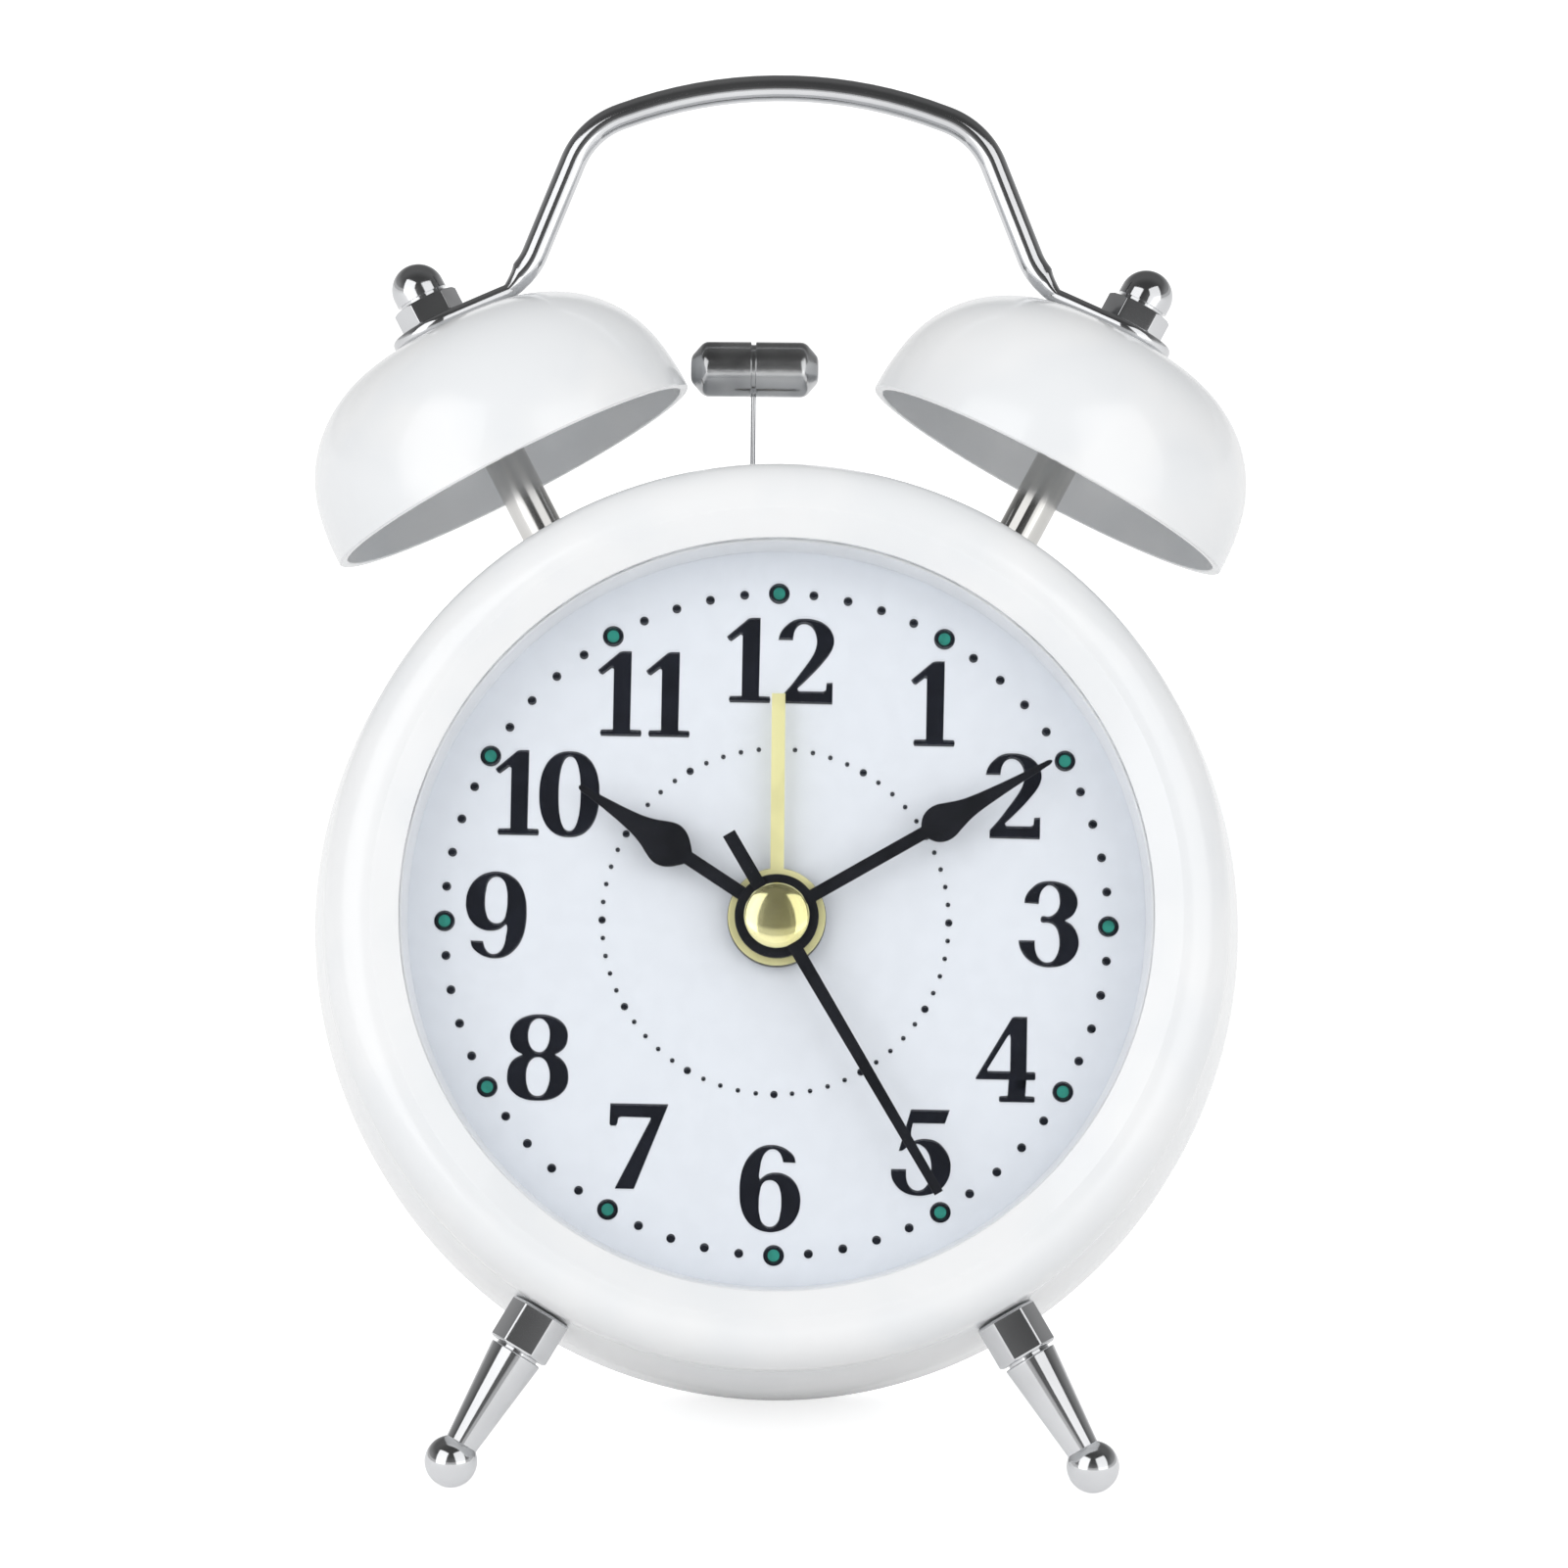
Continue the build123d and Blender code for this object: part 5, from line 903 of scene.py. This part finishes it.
def bent_wire(name, points, radii, radius):
    """Round wire bent on formers: straight runs drawn out, bends spun about their centres."""
    heading = (points[1] - points[0]).normalized()
    start_fresh()
    bpy.ops.mesh.primitive_circle_add(vertices=32, radius=radius * MM, fill_type="NOTHING")
    wire = bpy.context.object
    wire.matrix_world = (
        Matrix.Translation((points[0].x * MM, points[0].y * MM, 0))
        @ Vector((heading.x, heading.y, 0)).to_track_quat("Z", "Y").to_matrix().to_4x4()
    )
    bpy.ops.object.transform_apply(location=True, rotation=True, scale=True)
    bpy.ops.object.mode_set(mode="EDIT")
    bpy.ops.mesh.select_all(action="SELECT")
    here = points[0]
    for place, bend in enumerate(radii, start=1):
        heading = (points[place] - here).normalized()
        leaving = (points[place + 1] - points[place]).normalized()
        turn = math.atan2(heading.x * leaving.y - heading.y * leaving.x, heading.dot(leaving))
        reach = bend * math.tan(abs(turn) / 2)
        start, end = points[place] - heading * reach, points[place] + leaving * reach
        run = start - here
        bpy.ops.mesh.extrude_region_move(
            TRANSFORM_OT_translate={"value": (run.x * MM, run.y * MM, 0)}
        )
        inward = Vector((-heading.y, heading.x)) * math.copysign(1, turn)
        centre = start + inward * bend
        bpy.ops.mesh.spin(
            steps=max(6, round(abs(math.degrees(turn)) / BEND_STEP)),
            angle=-turn,
            center=(centre.x * MM, centre.y * MM, 0),
            axis=(0, 0, 1),
        )
        here = end
    run = points[-1] - here
    bpy.ops.mesh.extrude_region_move(TRANSFORM_OT_translate={"value": (run.x * MM, run.y * MM, 0)})
    bpy.ops.object.mode_set(mode="OBJECT")
    wire.name = wire.data.name = name
    return wire


def press_flat(wire, above):
    """Presses the end of the wire over one bell down to the thickness of its eye, over a short ramp."""
    put(wire, above.inverted())
    middle = (EYE_LOW + EYE_HIGH) / 2 * MM
    squeeze = (EYE_HIGH - EYE_LOW) / (2 * WIRE_R)
    for vertex in wire.data.vertices:
        out = vertex.co.xy.length / MM
        if out > PRESS_START or vertex.co.z > (EYE_HIGH + PRESS_REACH) * MM:
            continue
        pressed = min(1.0, (PRESS_START - out) / (PRESS_START - PRESS_END))
        climb = max(0.0, out - PRESS_END) ** 2 / (2 * KNEE_BEND)
        flat = middle + (vertex.co.z - (WIRE_HEIGHT + climb) * MM) * squeeze
        vertex.co.z += (flat - vertex.co.z) * pressed
        vertex.co.y *= 1 + PRESS_SPREAD * pressed
    put(wire, above)


wire = bent_wire("handle_wire", route, bends, WIRE_R)
put(wire, seat(0, 0, BELL_DEPTH))
handle_parts = [wire]
spread = math.degrees(math.acos((EYE_R - EYE_NECK_R) / WIRE_START))
eye_angles = [-180 + spread + (360 - 2 * spread) * step / 20 for step in range(21)]
neck_angles = [180 - spread + 2 * spread * step / 6 for step in range(7)]
neck = [(out - WIRE_START, aside) for out, aside in round_end(EYE_NECK_R, EYE_NECK_R, 0, neck_angles)]
eye = round_end(EYE_R, EYE_R, 0, eye_angles) + neck
for side, way in SIDES:
    press_flat(wire, bell_seat(way))
    loops = [[(-way * out, aside) for out, aside in eye], ring_points(EYE_HOLE_R)]
    handle_parts.append(stamped("eye_" + side, loops, EYE_LOW, EYE_HIGH, EYE_EDGE, place=bell_seat(way)))
close_up(wire, WIRE_SMOOTH)
mount(weld_together("carrying_handle", handle_parts), "case", "chrome_wire", chrome, "handle")

# Hammer: a turned head with a narrow groove, on a wire stem
HEAD_X, HEAD_Y, HEAD_R, HEAD_HALF = -2.417, 50.8, 2.5, 5.75
HEAD_FACE_R, HEAD_SHOULDER, HEAD_ROUND = 1.1, 4.55, 1.0
GROOVE_R, GROOVE_START, GROOVE_END = 2.25, -0.3, 0.1
STEM_X, STEM_Y, STEM_R, STEM_LONG = -2.517, 28.6, 0.225, 22.2
head_outline = eased(
    [
        (0, -HEAD_HALF),
        (HEAD_FACE_R, -HEAD_HALF, HEAD_ROUND),
        (HEAD_R, -HEAD_SHOULDER, HEAD_ROUND),
        (HEAD_R, GROOVE_START, 0.06),
        (GROOVE_R, GROOVE_START, 0.05),
        (GROOVE_R, GROOVE_END, 0.05),
        (HEAD_R, GROOVE_END, 0.06),
        (HEAD_R, HEAD_SHOULDER, HEAD_ROUND),
        (HEAD_FACE_R, HEAD_HALF, HEAD_ROUND),
        (0, HEAD_HALF),
    ],
    closed=False,
)
head_seat = seat(HEAD_X, HEAD_Y, BELL_DEPTH, (1, 0, 0))
hammer_head = turned("striker_head", head_outline, head_seat, closed=False)
mount(hammer_head, "hammer", "chrome_turned", tumbled_nickel, "hammer_head")
stem_outline = eased([(0, 0), (STEM_R, 0), (STEM_R, STEM_LONG, 0.05), (0, STEM_LONG)], closed=False)
stem_seat = seat(STEM_X, STEM_Y, BELL_DEPTH, (0, 1, 0))
stem = turned("striker_stem", stem_outline, stem_seat, closed=False, steps=24)
mount(stem, "hammer", "spring_steel", chrome, "hammer_stem")

# Feet: hexagon, cone and ball, at distances from the drum's axis, cut flat where they stand
FOOT_DEPTH, FOOT_ANGLE = 30.0, math.radians(30.6)
FOOT_FLATS, FOOT_LOW, FOOT_HIGH, FOOT_CHAMFER, FOOT_WORN = 4.95, 40.2, 44.35, 0.4, 0.25
NECK_R, NECK_LOW = 2.0, 44.1
CONE_R, CONE_LOW, CONE_END_R, CONE_END = 2.45, 44.6, 1.5, 53.9
BALL_R, BALL_MIDDLE, BALL_STEPS = 2.35, 55.7, 24
foot_corners = [(0, NECK_LOW), (NECK_R, NECK_LOW), (NECK_R, CONE_LOW), (CONE_R, CONE_LOW, 0.15)]
ball_start = math.degrees(math.acos(CONE_END_R / BALL_R))
ball_angles = [-ball_start + (90 + ball_start) * step / BALL_STEPS for step in range(BALL_STEPS + 1)]
foot_outline = eased(foot_corners + [(CONE_END_R, CONE_END)], closed=False)[:-1]
foot_outline += round_end(BALL_R, BALL_R, BALL_MIDDLE, ball_angles)
for side, way in SIDES:
    foot_seat = seat(0, 0, FOOT_DEPTH, (way * math.sin(FOOT_ANGLE), -math.cos(FOOT_ANGLE), 0))
    root = hexagon(
        "foot_hex_" + side, FOOT_FLATS, FOOT_LOW, FOOT_HIGH, FOOT_CHAMFER, foot_seat, worn=FOOT_WORN
    )
    cone = turned("foot_cone_" + side, foot_outline, foot_seat, closed=False, steps=64)
    pick(cone)
    bpy.ops.object.mode_set(mode="EDIT")
    bpy.ops.mesh.select_all(action="SELECT")
    bpy.ops.mesh.bisect(
        plane_co=(0, 0, 0), plane_no=(0, 0, 1), use_fill=True, clear_inner=True, threshold=0.1 * FINE
    )
    bpy.ops.object.mode_set(mode="OBJECT")
    close_up(cone)
    mount(weld_together("foot_turned_" + side, [root, cone]), "case", "chrome_turned", chrome, "foot_" + side)

# The other parts: the solids themselves, refinished
STEEL_PARTS = [
    "post_nuts", "foot_nuts", "cover_screws", "bracket_screws", "movement_screws", "striker_bracket",
    "hammer_pin", "magnet_core", "crystal_can", "stator",
]
for body, slot, material, nodes in (
    ("case", "white_plastic", abs_eroded, ["rear_cover"]),
    ("case", "zinc_steel", zinc, STEEL_PARTS),
    ("case", "spring_steel", spring_steel, ["contact_positive", "contact_negative"]),
    ("case", "fibre_washer", fibre, ["bell_washers"]),
    ("case", "brass_part", brass, ["dial_nut"]),
    ("case", "black_plastic", black_abs, ["movement_case", "movement_cover"]),
    ("case", "clear_white_plastic", acetal, ["movement_bridge"]),
    ("case", "board_green", laminate, ["circuit_board"]),
    ("case", "copper_winding", copper_wire, ["magnet_coil", "stator_coil"]),
    ("case", "cell_jacket", cell_film, ["battery"]),
    ("case", "white_plastic", abs_polished, ["inner_frame"]),
    ("battery_door", "white_plastic", abs_eroded, ["battery_door"]),
    ("time_setter", "black_plastic", black_abs, ["time_set_knob"]),
    ("time_setter", "clear_white_plastic", acetal, ["motion_wheel"]),
    ("minute_train", "brass_part", brass, ["cannon_pinion"]),
    ("hour_train", "brass_part", brass, ["hour_wheel"]),
    ("alarm_setter", "black_plastic", black_abs, ["alarm_set_knob"]),
    ("alarm_setter", "clear_white_plastic", acetal, ["alarm_pinion"]),
    ("alarm_train", "brass_part", brass, ["alarm_wheel"]),
    ("second_train", "brass_part", brass, ["second_wheel"]),
    ("fifth_wheel", "clear_white_plastic", acetal, ["fifth_wheel"]),
    ("rotor", "clear_white_plastic", acetal, ["rotor"]),
    ("third_wheel", "clear_white_plastic", acetal, ["third_wheel"]),
    ("centre_wheel", "clear_white_plastic", acetal, ["centre_wheel"]),
    ("hammer", "brass_part", brass, ["hammer_lever"]),
    ("hammer", "zinc_steel", zinc, ["armature"]),
    ("alarm_switch", "black_plastic", black_abs, ["alarm_switch"]),
):
    for node in nodes:
        mount(refinished(node, node + "_made"), body, slot, material, node)

# Camera: a metre off, with a long lens, a few degrees lower than square to the leaning dial
VIEW_TILT, VIEW_ROLL = math.radians(5.2), math.radians(0.5)
VIEW_FAR, VIEW_RIGHT, VIEW_UP = 1000.0, 0.64, 11.2
VIEW_LENS, VIEW_SENSOR = 261.95, 36
NEAREST, FARTHEST = 0.05, 50
look = Vector((0, math.sin(VIEW_TILT), -math.cos(VIEW_TILT)))
level_up = Vector((0, math.cos(VIEW_TILT), math.sin(VIEW_TILT)))
level_right = Vector((1, 0, 0))
right = level_right * math.cos(VIEW_ROLL) + level_up * math.sin(VIEW_ROLL)
up = level_up * math.cos(VIEW_ROLL) - level_right * math.sin(VIEW_ROLL)
bezel_middle = Vector((0, 0, BEZEL_FRONT))
camera_spot = bezel_middle + VIEW_RIGHT * right + VIEW_UP * up - VIEW_FAR * look
lens_data = bpy.data.cameras.new("studio_camera")
lens_data.lens = VIEW_LENS
lens_data.sensor_width = VIEW_SENSOR
lens_data.clip_start, lens_data.clip_end = NEAREST, FARTHEST
camera = bpy.data.objects.new("studio_camera", lens_data)
bpy.context.scene.collection.objects.link(camera)
stand = Matrix((right, up, -look)).transposed().to_4x4()
camera.matrix_world = clock @ Matrix.Translation(camera_spot * MM) @ stand
bpy.context.scene.camera = camera

# Studio floor: pale paper that the camera sees white, and metal half as bright, with the clock's shadow
FLOOR_SIDE, FLOOR_GLOW, MIRRORED_SHARE = 12, 0.7, 0.5
start_fresh()
bpy.ops.mesh.primitive_plane_add(size=FLOOR_SIDE)
floor = bpy.context.object
floor.name = "studio_floor"
paper, tree, shader = new_finish("white_paper_sweep")[:3]
shader.inputs["Base Color"].default_value = paint("#E2E2E2")
shader.inputs["Roughness"].default_value = 0.9
shader.inputs["Specular IOR Level"].default_value = 0.0
shader.inputs["Emission Color"].default_value = paint("#FFFFFF")
ray = add(tree, "ShaderNodeLightPath").outputs
share = {0: ray["Is Glossy Ray"], 1: MIRRORED_SHARE}
seen = add(tree, "ShaderNodeMath", share, operation="MULTIPLY").outputs[0]
for kind in ("Is Camera Ray", "Is Transmission Ray"):
    seen = add(tree, "ShaderNodeMath", {0: ray[kind], 1: seen}, operation="MAXIMUM").outputs[0]
glow = add(tree, "ShaderNodeMath", {0: seen, 1: FLOOR_GLOW}, operation="MULTIPLY").outputs[0]
tree.links.new(glow, shader.inputs["Emission Strength"])
floor.data.materials.append(paper)

# Studio room and lamps
world = bpy.data.worlds.new("white_studio")
bpy.context.scene.world = world
world.use_nodes = True
tree = world.node_tree
tree.nodes.clear()
ray = add(tree, "ShaderNodeLightPath").outputs
outwards = add(tree, "ShaderNodeTexCoord").outputs["Generated"]
direction = add(tree, "ShaderNodeSeparateXYZ", {"Vector": outwards})
# Each part of the room fades from one strength to another as the view turns: along Y towards the back
# wall, along Z towards the ceiling.
fades = {}
for part, turning, start, end, at_start, at_end in (
    ("walls", "Y", -0.4, 0.3, 0.17, 0.34),
    ("ceiling", "Z", 0.15, 0.6, 1.0, 0.4),
    ("dark_camera_side", "Y", -0.995, -0.96, 0.03, 1.0),
    ("bright_low_edge", "Z", 0.12, 0.22, 0.6, 0.0),
    ("bright_back_wall", "Y", 0.93, 0.985, 0.0, 1.0),
    ("soft_light", "Y", 0.1, 0.6, 0.65, 0.84),
):
    fade = {
        "Value": direction.outputs[turning],
        "From Min": start,
        "From Max": end,
        "To Min": at_start,
        "To Max": at_end,
    }
    fades[part] = add(tree, "ShaderNodeMapRange", fade, interpolation_type="SMOOTHSTEP").outputs[0]
room = fades["walls"]
for part, way in (
    ("ceiling", "MULTIPLY"),
    ("dark_camera_side", "MULTIPLY"),
    ("bright_low_edge", "MAXIMUM"),
    ("bright_back_wall", "MAXIMUM"),
):
    room = add(tree, "ShaderNodeMath", {0: room, 1: fades[part]}, operation=way).outputs[0]
# White to the camera and through glass, the room in reflections, and soft light for everything else.
straight = {0: ray["Is Camera Ray"], 1: ray["Is Transmission Ray"]}
seen = add(tree, "ShaderNodeMath", straight, operation="MAXIMUM").outputs[0]
ambient, reflected, backdrop = (
    add(tree, "ShaderNodeBackground", {"Color": paint("#FFFFFF"), "Strength": strength}).outputs[0]
    for strength in (fades["soft_light"], room, 1.0)
)
shine = add(tree, "ShaderNodeMixShader", {0: ray["Is Glossy Ray"], 1: ambient, 2: reflected}).outputs[0]
whole = add(tree, "ShaderNodeMixShader", {0: seen, 1: shine, 2: backdrop}).outputs[0]
add(tree, "ShaderNodeOutputWorld", {"Surface": whole})

# Two large soft lamps before the clock, left and right, the left a little stronger: places in metres
LAMP_AIM = Vector((0, 0, 0.06))
LAMP_WIDE, LAMP_HIGH = 0.8, 0.95
for name, spot, watts in (
    ("key_softbox", Vector((-0.61, -0.61, 0.43)), 3.35),
    ("fill_softbox", Vector((0.61, -0.61, 0.41)), 2.8),
):
    panel = bpy.data.lights.new(name, "AREA")
    panel.shape = "RECTANGLE"
    panel.size, panel.size_y = LAMP_WIDE, LAMP_HIGH
    panel.energy = watts
    lamp = bpy.data.objects.new(name, panel)
    bpy.context.scene.collection.objects.link(lamp)
    lamp.location = spot
    lamp.rotation_mode = "QUATERNION"
    lamp.rotation_quaternion = (LAMP_AIM - spot).to_track_quat("-Z", "Y")

bpy.context.scene.view_settings.view_transform = "Standard"
